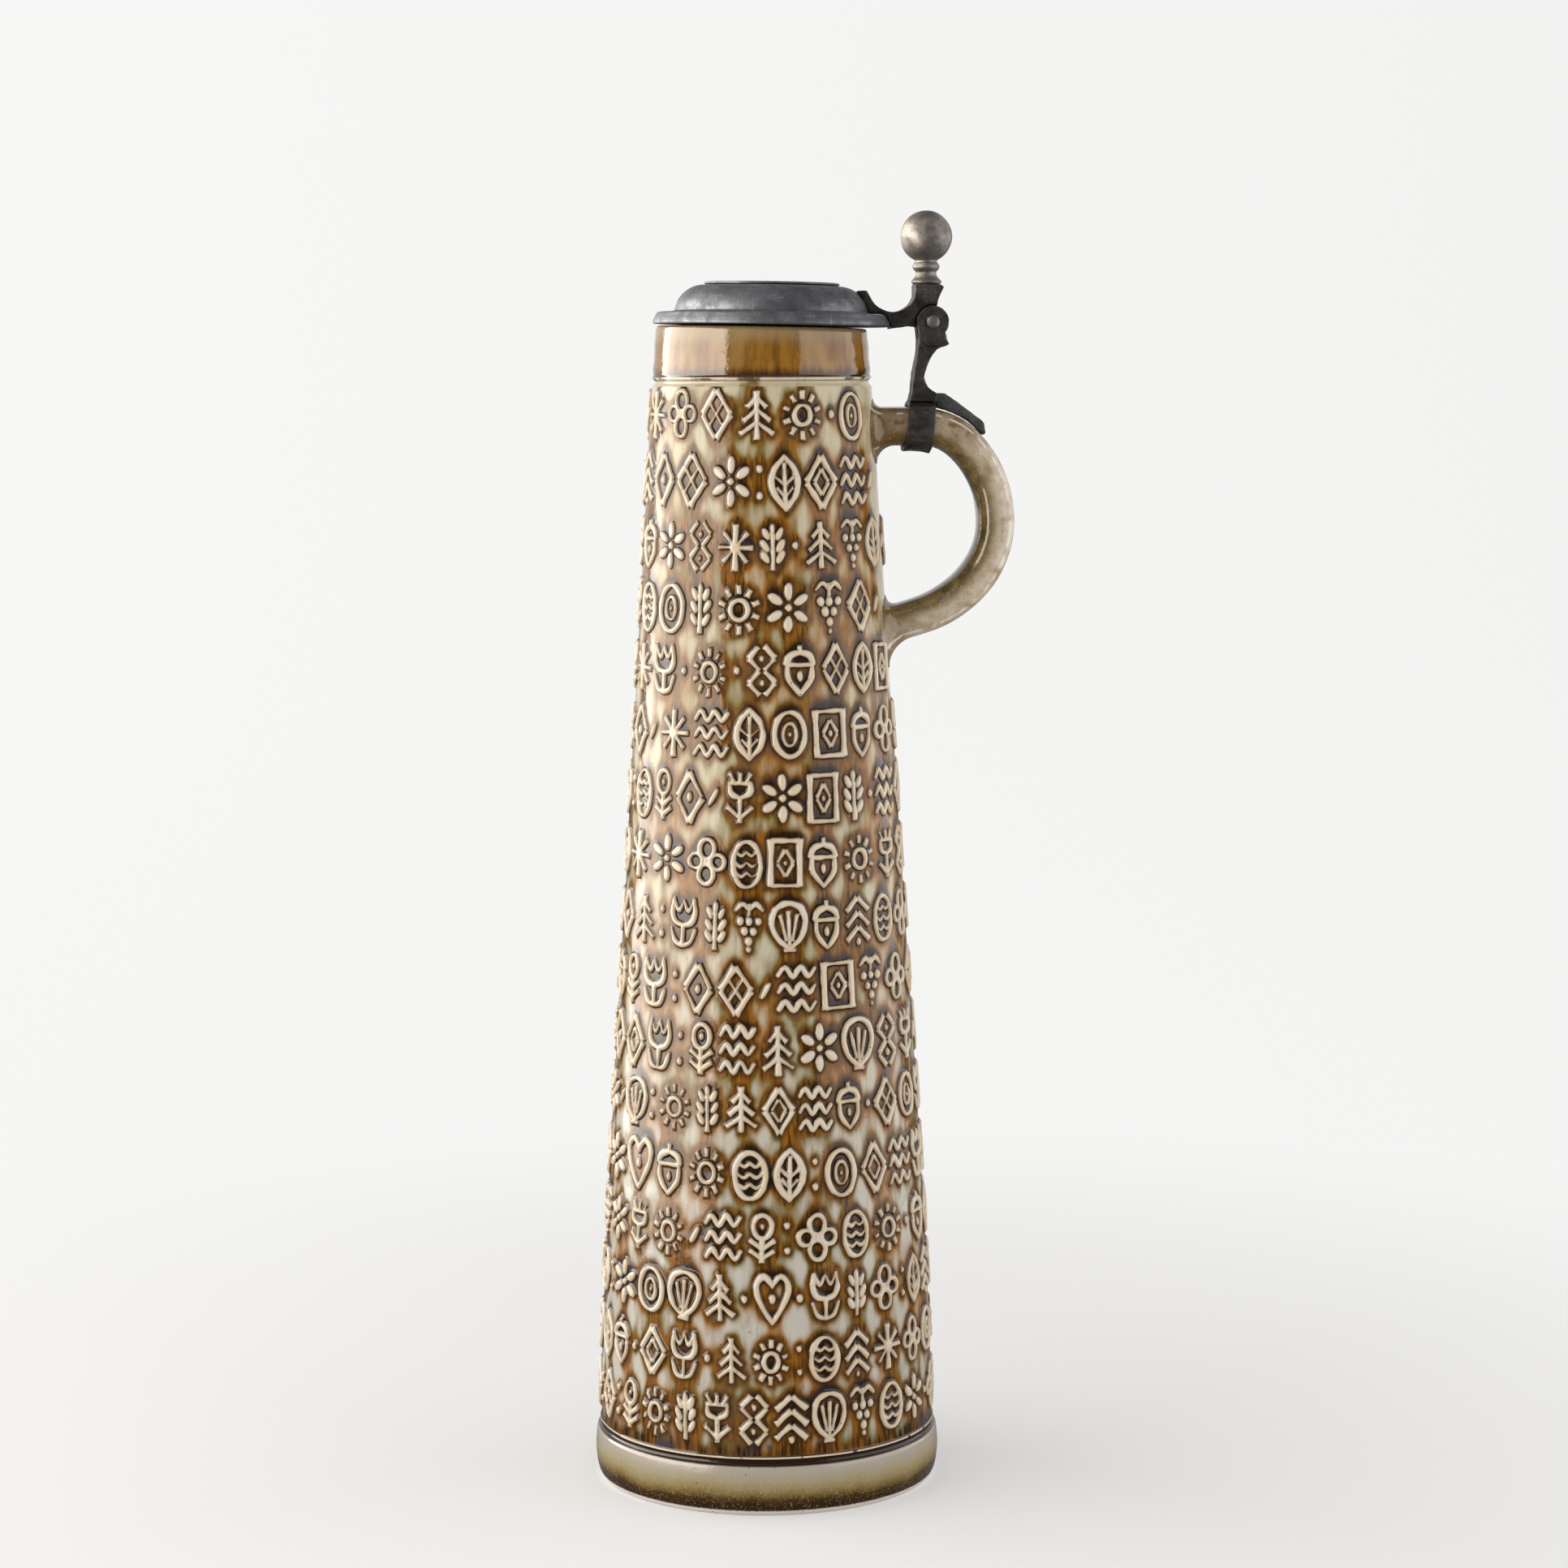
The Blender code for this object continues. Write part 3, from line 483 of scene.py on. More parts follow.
        # the mouth is not quite level: its rim follows the closed lid
        rise = (0.3 + (3.3 - rr * c) * math.tan(math.radians(1.1))) * min(max((z - 380.0) / 8.0, 0.0), 1.0)
        rings.append(np.stack([rr * c, rr * s, z + rise], 1))
    ob = loft("glazed_vessel", rings, mat)

    def spread(grid, rest):
        full = []
        for k, ring in enumerate(rings):
            if n_low <= k < n_low + n_field:
                full.append(grid[k - n_low])
            else:
                full.append(np.full(len(ring), rest))
        return np.concatenate(full)

    store(ob, "stroke", spread(np.clip(sdf, -3, 6), 6.0))
    store(ob, "pool", spread(pool, 0.0))
    store(ob, "roof", spread(roof, 0.0))
    store(ob, "open", spread(open_, 0.9))
    rim_index = len(foot) + len(low) + len(field) + len(neck) - 4 - 12
    store(ob, "inside", np.concatenate([np.full(len(ring), 1.0 if k > rim_index else 0.0)
                                        for k, ring in enumerate(rings)]))
    return ob


# =====================================================================
# handle
# =====================================================================
LINE = [(22.0, 358.0), (33.0, 358.0), (46.0, 358.1), (56.0, 357.8), (64.5, 354.6), (71.2, 348.2),
        (76.1, 339.9), (78.4, 330.5), (78.4, 321.0), (75.2, 311.6), (68.8, 303.6), (60.6, 297.5),
        (51.3, 293.8), (38.0, 290.4), (28.0, 287.9)]


def smooth_line(points, steps):
    pts = [np.array(p, float) for p in points]
    pts = [2 * pts[0] - pts[1]] + pts + [2 * pts[-1] - pts[-2]]
    out = []
    for i in range(1, len(pts) - 2):
        p0, p1, p2, p3 = pts[i - 1], pts[i], pts[i + 1], pts[i + 2]
        for s in range(steps):
            t = s / steps
            out.append(0.5 * (2 * p1 + (p2 - p0) * t + (2 * p0 - 5 * p1 + 4 * p2 - p3) * t * t
                              + (3 * p1 - p0 - 3 * p2 + p3) * t ** 3))
    out.append(pts[-2])
    return np.array(out)


def make_handle(mat):
    line = smooth_line(LINE, 40)
    step = np.r_[0, np.cumsum(np.linalg.norm(np.diff(line, axis=0), axis=1))]
    run = np.arange(0, step[-1], 0.5)
    line = np.stack([np.interp(run, step, line[:, 0]), np.interp(run, step, line[:, 1])], 1)
    line = soften(line, 30)
    clear = line[:, 0] - wall(line[:, 1]) - 0.3
    keep = clear > -9.0
    line, run, clear = line[keep], run[keep], clear[keep]
    tan = np.gradient(line, axis=0)
    tan /= np.linalg.norm(tan, axis=1)[:, None]
    nrm = np.stack([-tan[:, 1], tan[:, 0]], 1)
    upper = line[:, 1] > 325.0
    cols = 96
    a = np.arange(cols) * 2 * math.pi / cols
    power = 2 / 2.6
    ca = np.sign(np.cos(a)) * np.abs(np.cos(a)) ** power
    sa = np.sign(np.sin(a)) * np.abs(np.sin(a)) ** power
    rng = np.random.default_rng(5)
    bump = field_noise(rng, (len(line), cols), (9.0, 7.0))
    rings, run_a, in_a, near_a = [], [], [], []
    for k, (p, n) in enumerate(zip(line, nrm)):
        # fillets where the clay is luted on: small outside, larger inside the loop
        out_r, in_r, side_r = (3.0, 6.5, 4.5) if upper[k] else (8.0, 4.0, 6.0)
        outer = np.clip(ca, 0, 1)
        inner = np.clip(-ca, 0, 1)
        big = out_r * outer + in_r * inner + side_r * (1 - outer - inner)
        grow = np.zeros(cols)
        for _ in range(24):
            px = p[0] + n[0] * (6.4 + grow) * ca
            py = (10.0 + 0.9 * grow) * sa
            pz = p[1] + n[1] * (6.4 + grow) * ca
            gap = np.hypot(px, py) - wall(pz) - 0.2
            x = np.clip((big - np.maximum(gap, 0.0)) / big, 0, 1)
            grow = 0.6 * grow + 0.4 * big * (1 - np.sqrt(np.clip(1 - x * x, 0, 1)))
        # the strap is a little proud along its two edges
        ridge = 0.28 * np.exp(-((np.abs(sa) - 0.62) / 0.16) ** 2) * (ca > 0)
        across = (6.4 + grow + ridge + 0.10 * bump[k]) * ca
        along = (10.0 + 0.9 * grow + 0.08 * bump[k]) * sa
        rings.append(np.stack([p[0] + n[0] * across, along, p[1] + n[1] * across], 1))
        run_a.append(np.full(cols, run[k]))
        in_a.append(-ca)
        near_a.append(np.full(cols, max(clear[k], 0.0)))
    first = rings[0].mean(0)
    final = rings[-1].mean(0)
    ob = loft("glazed_handle", [[first]] + rings + [[final]], mat)
    store(ob, "run", np.r_[0.0, np.concatenate(run_a), 0.0])
    store(ob, "inner", np.r_[0.0, np.concatenate(in_a), 0.0])
    store(ob, "near", np.r_[0.0, np.concatenate(near_a), 0.0])
    return ob


# =====================================================================
# pewter
# =====================================================================
LID_X, LID_Z, LID_TILT = 3.3, 391.7, math.radians(1.1)


def tilt(p):
    p = np.asarray(p, float).reshape(-1, 3).copy()
    c, s = math.cos(LID_TILT), math.sin(LID_TILT)
    x, z = p[:, 0] - LID_X, p[:, 2] - LID_Z
    p[:, 0] = LID_X + x * c + z * s
    p[:, 2] = LID_Z - x * s + z * c
    return p


def cast(rings, amount, sigma, seed):
    """A slight unevenness along each ring's own radius, as cast and turned metal has."""
    rng = np.random.default_rng(seed)
    cols = max(len(r) for r in rings)
    n = field_noise(rng, (len(rings), cols), sigma)
    out = []
    for k, ring in enumerate(rings):
        ring = np.asarray(ring, float).reshape(-1, 3)
        if len(ring) > 1:
            centre = ring.mean(0)
            d = ring - centre
            size = np.linalg.norm(d, axis=1)[:, None]
            ring = centre + d * (1 + amount * n[k][:, None] / np.maximum(size, 2.0))
        out.append(ring)
    return out


def make_lid(mat):
    top = 395.7
    dome = [(32.4 - 9.3 * (1 - math.cos(a)), top + 0.75 + (404.9 - top - 0.75) * math.sin(a) ** 1.2)
            for a in np.linspace(0, math.pi / 2, 34)]
    outside = soften(resample([(38.9, 391.75), (39.6, 391.85), (39.72, 392.5), (39.3, 393.6),
                               (38.5, 395.1), (38.2, 395.55), (37.6, 395.75), (34.0, 395.95),
                               (33.3, 396.0), (33.05, 396.25), (32.75, 396.3), (32.6, 396.15),
                               (32.45, 396.45)], 0.2), 2)
    dome = soften(resample(dome, 0.5), 2)
    crown = resample([tuple(dome[-1]), (22.9, 404.93), (0.0, 404.95)], 3.0)
    under = soften(resample([(38.9, 391.75), (30.6, 391.7), (29.9, 391.9), (29.9, 395.7)], 0.5), 2)
    cave = [(29.9 - 9.3 * (1 - math.cos(a)), 395.7 + (402.8 - 395.7) * math.sin(a) ** 1.2)
            for a in np.linspace(0, math.pi / 2, 16)]
    ceiling = resample([cave[-1], (0.0, 402.8)], 5.0)
    up = np.concatenate([outside, dome[1:], crown[1:]])
    down = np.concatenate([under[1:], np.array(cave)[1:], ceiling[1:]])
    profile = np.concatenate([up[::-1], down])
    rings = turned([(r, z) for r, z in profile], 192, (LID_X, 0.0))
    rings = [tilt(r) for r in cast(rings, 0.05, (4, 5), 3)]
    return loft("pewter_lid_shell", rings, mat)


def make_disc(mat):
    edge = soften(resample([(21.5, 405.2), (22.5, 405.2), (22.62, 405.35), (22.62, 405.7),
                            (22.45, 405.92), (22.0, 405.98), (20.9, 405.9), (20.4, 405.95)], 0.12), 2)
    face = resample([tuple(edge[-1]), (12.0, 406.16), (0.0, 406.24)], 2.0)
    profile = np.concatenate([[(0.0, 405.2)], edge, face[1:]])
    rings = turned([(r, z) for r, z in profile], 160, (LID_X, 0.0))
    return loft("pewter_lid_disc", [tilt(r) for r in cast(rings, 0.03, (2, 5), 4)], mat)


def make_finial(mat):
    z0, bz, br = 405.4, 421.1, 8.7
    stem = soften(resample([(4.6, z0), (5.0, z0 + 0.2), (5.1, z0 + 0.8), (4.75, z0 + 1.3),
                            (3.9, z0 + 2.1), (3.45, z0 + 3.0), (3.45, z0 + 4.0), (4.0, z0 + 4.6),
                            (4.5, z0 + 5.3), (4.55, z0 + 6.0), (4.2, z0 + 6.8), (3.75, z0 + 7.3),
                            (3.7, z0 + 7.7)], 0.15), 3)
    a0 = math.asin(3.9 / br) - math.pi / 2
    ball = [(br * math.cos(a), bz + br * math.sin(a)) for a in np.linspace(a0, math.pi / 2, 72)]
    ball[-1] = (0.0, bz + br)
    profile = np.concatenate([[(0.0, z0 - 0.45), (4.6, z0 - 0.45)], stem, np.array(ball)])
    rings = cast(turned([(r, z) for r, z in profile], 112, (0.0, 0.0)), 0.05, (5, 6), 6)
    lean = math.radians(1.6)
    out = []
    for r in rings:
        r = np.asarray(r, float).reshape(-1, 3)
        # the stem leans a hair toward the lid and the ball is set back over it
        z = r[:, 2] - z0
        off = 55.4 - math.sin(lean) * z * np.clip(1.6 - z / 9.0, 0, 1)
        r = np.stack([r[:, 0] + off, r[:, 1], r[:, 2]], 1)
        out.append(r)
    return loft("pewter_thumblift", out, mat)


def make_pin(mat):
    reach = 7.5
    head = [(2.2 * math.cos(a) ** 0.8, reach + 0.1 + 0.7 * math.sin(a))
            for a in np.linspace(0, math.pi / 2, 9)]
    head[-1] = (0.0, head[-1][1])
    right = [(1.5, 0.0), (1.5, reach), (2.0, reach), (2.2, reach + 0.1)] + head[1:]
    profile = [(r, -z) for r, z in right[::-1]] + right[1:]
    rings = []
    a = np.arange(48) * 2 * math.pi / 48
    for r, y in profile:
        if r < 1e-4:
            rings.append([(57.0, y, 392.7)])
        else:
            rings.append(np.stack([57.0 + r * np.cos(a), np.full(48, y), 392.7 + r * np.sin(a)], 1))
    return loft("pewter_hinge_pin", rings, mat)


def soft_copy(node, name, voxel, rounds, mat, seed, amount=0.06, settle=None):
    """The node's solid with its edges rounded off and a cast surface."""
    data = NODES[node].data.copy()
    data.name = name
    ob = bpy.data.objects.new(name, data)
    scene.collection.objects.link(ob)
    bm = bmesh.new()
    bm.from_mesh(data)
    bmesh.ops.remove_doubles(bm, verts=bm.verts, dist=0.00001)
    bm.to_mesh(data)
    bm.free()
    mod = ob.modifiers.new("grid", 'REMESH')
    mod.mode = 'VOXEL'
    mod.voxel_size = voxel * MM
    mod.use_smooth_shade = True
    mod = ob.modifiers.new("round", 'SMOOTH')
    mod.factor = 0.5
    mod.iterations = rounds
    bpy.context.view_layer.update()
    graph = bpy.context.evaluated_depsgraph_get()
    mesh = bpy.data.meshes.new_from_object(ob.evaluated_get(graph))
    ob.modifiers.clear()
    ob.data = mesh
    bpy.data.meshes.remove(data)
    mesh.name = name
    # low unevenness from three crossing waves of no fixed direction
    n = len(mesh.vertices)
    co = np.zeros(n * 3, np.float32)
    mesh.vertices.foreach_get("co", co)
    co = co.reshape(-1, 3).astype(float)
    no = np.zeros(n * 3, np.float32)
    mesh.vertices.foreach_get("normal", no)
    no = no.reshape(-1, 3)
    rng = np.random.default_rng(seed)
    wave = np.zeros(n)
    for _ in range(9):
        d = rng.standard_normal(3)
        d /= np.linalg.norm(d)
        wave += np.sin(co @ d * 1000 * 2 * math.pi / rng.uniform(2.4, 7.0) + rng.uniform(0, 6.28))
    wave /= 3.0
    co = co + no * (wave[:, None] * amount * MM)
    if settle:
        co = settle(co * 1000) * MM
    mesh.vertices.foreach_set("co", co.astype(np.float32).ravel())
    mesh.update()
    mesh.materials.clear()
    mesh.materials.append(mat)
    mesh.polygons.foreach_set("material_index", np.zeros(len(mesh.polygons), np.int32))
    mesh.polygons.foreach_set("use_smooth", np.ones(len(mesh.polygons), bool))
    return ob


# =====================================================================
# materials
# =====================================================================
def srgb(r, g, b):
    out = []
    for v in (r, g, b):
        v /= 255.0
        out.append(v / 12.92 if v <= 0.04045 else ((v + 0.055) / 1.055) ** 2.4)
    return (*out, 1.0)


class Graph:
    """A small writer for node materials."""

    def __init__(self, name):
        self.mat = bpy.data.materials.new(name)
        self.mat.use_nodes = True
        self.tree = self.mat.node_tree
        self.bsdf = self.tree.nodes["Principled BSDF"]

    def node(self, kind, **props):
        n = self.tree.nodes.new(kind)
        for k, v in props.items():
            setattr(n, k, v)
        return n

    def put(self, socket, value):
        if isinstance(value, bpy.types.NodeSocket):
            self.tree.links.new(value, socket)
        elif isinstance(value, (tuple, list)) and len(value) == 4 and len(socket.default_value) == 3:
            socket.default_value = value[:3]
        else:
            socket.default_value = value

    def math(self, op, a, b=0.0, c=None, clamp=False):
        n = self.node("ShaderNodeMath", operation=op, use_clamp=clamp)
        self.put(n.inputs[0], a)
        self.put(n.inputs[1], b)
        if c is not None:
            self.put(n.inputs[2], c)
        return n.outputs[0]

    def add(self, a, b):
        return self.math('ADD', a, b)

    def mul(self, a, b, clamp=False):
        return self.math('MULTIPLY', a, b, clamp=clamp)

    def sub(self, a, b):
        return self.math('SUBTRACT', a, b)

    def step(self, x, lo, hi, out_lo=0.0, out_hi=1.0, smooth=True):
        n = self.node("ShaderNodeMapRange",
                      interpolation_type='SMOOTHSTEP' if smooth else 'LINEAR', clamp=True)
        self.put(n.inputs["Value"], x)
        if lo > hi:
            lo, hi, out_lo, out_hi = hi, lo, out_hi, out_lo
        n.inputs["From Min"].default_value = lo
        n.inputs["From Max"].default_value = hi
        n.inputs["To Min"].default_value = out_lo
        n.inputs["To Max"].default_value = out_hi
        return n.outputs["Result"]

    def mix(self, fac, a, b, mode='MIX'):
        n = self.node("ShaderNodeMix", data_type='RGBA', blend_type=mode)
        self.put(n.inputs[0], fac)
        self.put(n.inputs[6], a)
        self.put(n.inputs[7], b)
        return n.outputs[2]

    def ramp(self, x, stops):
        n = self.node("ShaderNodeValToRGB")
        e = n.color_ramp.elements
        while len(e) > 1:
            e.remove(e[-1])
        e[0].position, e[0].color = stops[0]
        for pos, col in stops[1:]:
            item = e.new(pos)
            item.color = col
        self.put(n.inputs[0], x)
        return n.outputs[0]

    def attr(self, name):
        return self.node("ShaderNodeAttribute", attribute_name=name).outputs["Fac"]

    def place(self, scale=(1, 1, 1), offset=(0, 0, 0)):
        """Object coordinates, in millimetres times scale."""
        if not hasattr(self, "coord"):
            self.coord = self.node("ShaderNodeTexCoord").outputs["Object"]
        n = self.node("ShaderNodeMapping")
        n.inputs["Scale"].default_value = tuple(s * 1000 for s in scale)
        n.inputs["Location"].default_value = offset
        self.put(n.inputs["Vector"], self.coord)
        return n.outputs[0]

    def height(self):
        if not hasattr(self, "coord"):
            self.coord = self.node("ShaderNodeTexCoord").outputs["Object"]
        n = self.node("ShaderNodeSeparateXYZ")
        self.put(n.inputs[0], self.coord)
        return self.mul(n.outputs[2], 1000.0), n

    def noise(self, scale, detail=2.0, rough=0.5, offset=(0, 0, 0), warp=0.0):
        """Noise of a size in millimetres: scale is (across, across, up) feature size."""
        n = self.node("ShaderNodeTexNoise")
        self.put(n.inputs["Vector"], self.place(tuple(1.0 / s for s in scale), offset))
        n.inputs["Scale"].default_value = 1.0
        n.inputs["Detail"].default_value = detail
        n.inputs["Roughness"].default_value = rough
        n.inputs["Distortion"].default_value = warp
        return n.outputs["Fac"]

    def cells(self, scale, feature='F1', offset=(0, 0, 0), out="Distance"):
        n = self.node("ShaderNodeTexVoronoi", feature=feature)
        self.put(n.inputs["Vector"], self.place(tuple(1.0 / s for s in scale), offset))
        n.inputs["Scale"].default_value = 1.0
        return n.outputs[out]

    def bump(self, height, distance_mm, strength=1.0):
        n = self.node("ShaderNodeBump")
        n.inputs["Strength"].default_value = strength
        n.inputs["Distance"].default_value = distance_mm * MM
        self.put(n.inputs["Height"], height)
        self.put(self.bsdf.inputs["Normal"], n.outputs[0])

    def mix_value(self, fac, a, b):
        return self.add(self.mul(self.sub(1.0, fac), a), self.mul(fac, b))

    def finish(self, colour, rough, metallic=0.0, ior=None, shine=None):
        self.put(self.bsdf.inputs["Base Color"], colour)
        self.put(self.bsdf.inputs["Roughness"], rough)
        self.bsdf.inputs["Metallic"].default_value = metallic
        if ior:
            self.bsdf.inputs["IOR"].default_value = ior
        if shine is not None:
            self.put(self.bsdf.inputs["Specular IOR Level"], shine)
        return self.mat


CREAM = srgb(200, 188, 170)
CREAM_WARM = srgb(172, 148, 116)
BLOB = srgb(178, 167, 138)
BLOB_GREY = srgb(178, 172, 160)
OLIVE = srgb(104, 84, 28)
AMBER = srgb(136, 84, 14)
OCHRE = srgb(146, 102, 28)
MAUVE = srgb(98, 72, 48)
BROWN = srgb(62, 38, 8)
DARK = srgb(22, 11, 2)
BLUE = srgb(56, 52, 64)


def glaze_material():
    g = Graph("stoneware_glaze_look")
    z, xyz = g.height()
    stroke, pool, roof, open_, inside = (g.attr(n) for n in
                                         ("stroke", "pool", "roof", "open", "inside"))
    drops = g.noise((7.0, 7.0, 20.0), 2.0, 0.5, (3, 1, 0))
    drips = g.noise((2.6, 2.6, 15.0), 3.0, 0.6, (11, 5, 2))
    streak = g.noise((1.1, 1.1, 9.0), 3.0, 0.6, (1, 8, 4))
    patch = g.noise((26.0, 26.0, 55.0), 2.0, 0.5, (7, 7, 7))
    patch2 = g.noise((15.0, 15.0, 30.0), 2.0, 0.5, (2, 9, 5))
    grain = g.noise((0.55, 0.55, 0.7), 2.0, 0.6, (4, 4, 4))

    # how thin and pale the glaze is in the field between the strokes
    low = g.step(z, 260.0, 60.0)                      # 1 near the base
    f = g.mul(open_, 0.78)
    f = g.add(f, g.mul(g.sub(drops, 0.5), 1.45))
    f = g.add(f, g.mul(g.sub(drips, 0.5), 0.30))
    f = g.sub(f, g.mul(pool, 0.62))
    f = g.sub(f, 0.155)
    f = g.add(f, g.mul(low, 0.10))
    f = g.add(f, g.mul(g.sub(grain, 0.5), 0.10))
    f = g.add(f, g.mul(g.step(z, 363.0, 371.5, 0.0, 0.75), g.step(patch2, 0.36, 0.60)))
    body = g.mix(g.step(g.add(patch, g.mul(g.sub(patch2, 0.5), 0.8)), 0.46, 0.66),
                 g.mix(g.step(streak, 0.35, 0.65), BROWN, AMBER),
                 g.mix(g.step(streak, 0.3, 0.7), MAUVE, srgb(110, 74, 40)))
    body = g.mix(g.step(drips, 0.52, 0.72), body, g.mix(low, OCHRE, AMBER))
    pale = g.mix(low, BLOB, BLOB_GREY)
    rim = g.mix(g.step(patch2, 0.4, 0.6), OLIVE, srgb(136, 88, 26))
    colour = g.mix(g.step(f, 0.06, 0.34), body, rim)
    colour = g.mix(g.step(f, 0.20, 0.74), colour, pale)
    colour = g.mix(g.step(streak, 0.56, 0.74, 0.0, 0.35), colour, srgb(112, 72, 30))
    # darker brown close around the strokes: thicker glaze there, and painted shade in the angle beside each stroke
    edge = g.mul(g.step(stroke, 1.9, 0.25), 0.80)
    colour = g.mix(g.mul(edge, g.step(drips, 0.30, 0.62, 0.55, 1.0)), colour, BROWN)
    # near-black above the strokes and in the counters, where the run-up field is high: pooled glaze and painted shade
    pooled_glaze_and_shade = g.step(g.add(pool, g.mul(g.sub(patch2, 0.5), 0.8)), 0.14, 0.66)
    pooled_glaze_and_shade = g.mul(pooled_glaze_and_shade, g.sub(1.0, g.mul(g.step(z, 27.5, 24.0, 0.0, 0.85), g.step(drips, 0.62, 0.42))))
    colour = g.mix(g.mul(pooled_glaze_and_shade, 0.93), colour, DARK)
    blue = g.mul(g.step(patch2, 0.56, 0.68), g.step(g.mul(pool, drips), 0.12, 0.34))
    colour = g.mix(g.mul(blue, 0.75), colour, BLUE)
    # raised strokes: the glaze has run off and the pale body shows
    top = g.mix(g.step(patch2, 0.35, 0.65), CREAM, srgb(198, 180, 152))
    top = g.mix(g.step(stroke, -0.55, -0.1, 0.0, 0.55), top, CREAM_WARM)
    top = g.mix(g.step(grain, 0.58, 0.75, 0.0, 0.35), top, srgb(180, 150, 120))
    on_top = g.step(g.add(stroke, g.mul(g.sub(grain, 0.5), 0.18)), 0.20, -0.12)
    colour = g.mix(on_top, colour, top)

    # plain neck band: ochre, with drips and a dark pool on its lower edge
    neck = g.mix(g.step(drips, 0.30, 0.70), srgb(98, 60, 6), srgb(134, 92, 26))
    neck = g.mix(g.step(drops, 0.44, 0.72, 0.0, 0.6), neck, srgb(146, 116, 66))
    neck = g.mix(g.step(z, 384.0, 390.0, 0.0, 0.6), neck, srgb(150, 132, 98))
    crackle = g.cells((1.0, 1.0, 1.0), 'DISTANCE_TO_EDGE')
    neck = g.mix(g.step(crackle, 0.07, 0.0, 0.0, 0.35), neck, srgb(120, 78, 30))
    neck_pool = g.step(g.add(z, g.mul(drips, 3.6)), 380.6, 376.9)
    neck = g.mix(g.mul(neck_pool, 0.93), neck, srgb(48, 24, 8))
    lip = g.mul(g.step(g.math('ABSOLUTE', g.sub(z, 374.05)), 0.62, 0.25), g.step(drops, 0.40, 0.52, 0.15, 1.0))
    neck = g.mix(lip, neck, srgb(196, 180, 158))
    at_neck = g.step(z, 373.2, 373.6)
    colour = g.mix(at_neck, colour, neck)

    # base: dark groove with a thin pale line, then grey, olive and brown bands
    zz = g.add(z, g.mul(g.sub(patch2, 0.5), 5.0))
    zz = g.add(zz, g.mul(g.sub(grain, 0.5), 3.0))
    base = g.ramp(g.mul(zz, 1.0 / 20.0), [
        (0.0, srgb(40, 23, 4)), (0.17, srgb(42, 24, 4)), (0.27, srgb(66, 43, 12)),
        (0.36, srgb(116, 96, 52)), (0.46, srgb(140, 124, 86)), (0.58, srgb(152, 140, 108)),
        (0.70, srgb(156, 146, 132)), (1.0, srgb(166, 156, 144))])
    base = g.mix(g.step(grain, 0.56, 0.7, 0.0, 0.35), base, srgb(176, 156, 108))
    groove = g.step(z, 16.6, 17.15)
    base = g.mix(groove, base, srgb(34, 18, 3))
    base = g.mix(g.mul(g.step(g.math('ABSOLUTE', g.sub(z, 19.55)), 0.42, 0.16),
                       g.step(drops, 0.36, 0.42)), base, srgb(206, 184, 158))
    colour = g.mix(g.step(z, 20.6, 20.1), colour, base)
    bare = g.step(g.add(z, g.mul(grain, 0.8)), 2.5, 2.0)
    colour = g.mix(bare, colour, srgb(200, 190, 180))

    # inside of the vessel
    wash = g.mix(g.step(patch2, 0.3, 0.7), srgb(200, 188, 168), srgb(184, 168, 142))
    wash = g.mix(g.step(grain, 0.62, 0.72, 0.0, 0.5), wash, srgb(120, 96, 66))
    colour = g.mix(inside, colour, wash)

    # iron specks and pinholes
    pin = g.cells((3.4, 3.4, 3.4), offset=(5, 5, 5))
    colour = g.mix(g.mul(g.step(pin, 0.085, 0.05), g.step(patch, 0.42, 0.55)), colour, srgb(34, 22, 14))
    haze = g.mix(g.step(g.noise((40, 40, 40), 1.0), 0.4, 0.6), (0.97, 0.97, 0.97, 1), (1, 1, 1, 1))
    colour = g.mix(1.0, colour, haze, 'MULTIPLY')
    smooth = g.step(z, 372.6, 373.6)
    rough = g.mix_value(smooth, g.step(grain, 0.3, 0.8, 0.12, 0.22), g.step(grain, 0.3, 0.8, 0.05, 0.12))
    rough = g.add(rough, g.mul(bare, 0.5))
    peel = g.noise((1.7, 1.7, 2.4), 2.0, 0.5, (9, 3, 6))
    micro = g.add(g.mul(peel, 1.0), g.mul(grain, 0.12))
    micro = g.sub(micro, g.mul(g.step(pin, 0.085, 0.04), 0.7))
    g.bump(micro, 0.10, 0.55)
    low_band = g.step(z, 17.2, 16.2)
    return g.finish(colour, rough, 0.0, 1.5, g.add(0.27, g.add(g.mul(smooth, 0.20), g.mul(low_band, 0.12))))


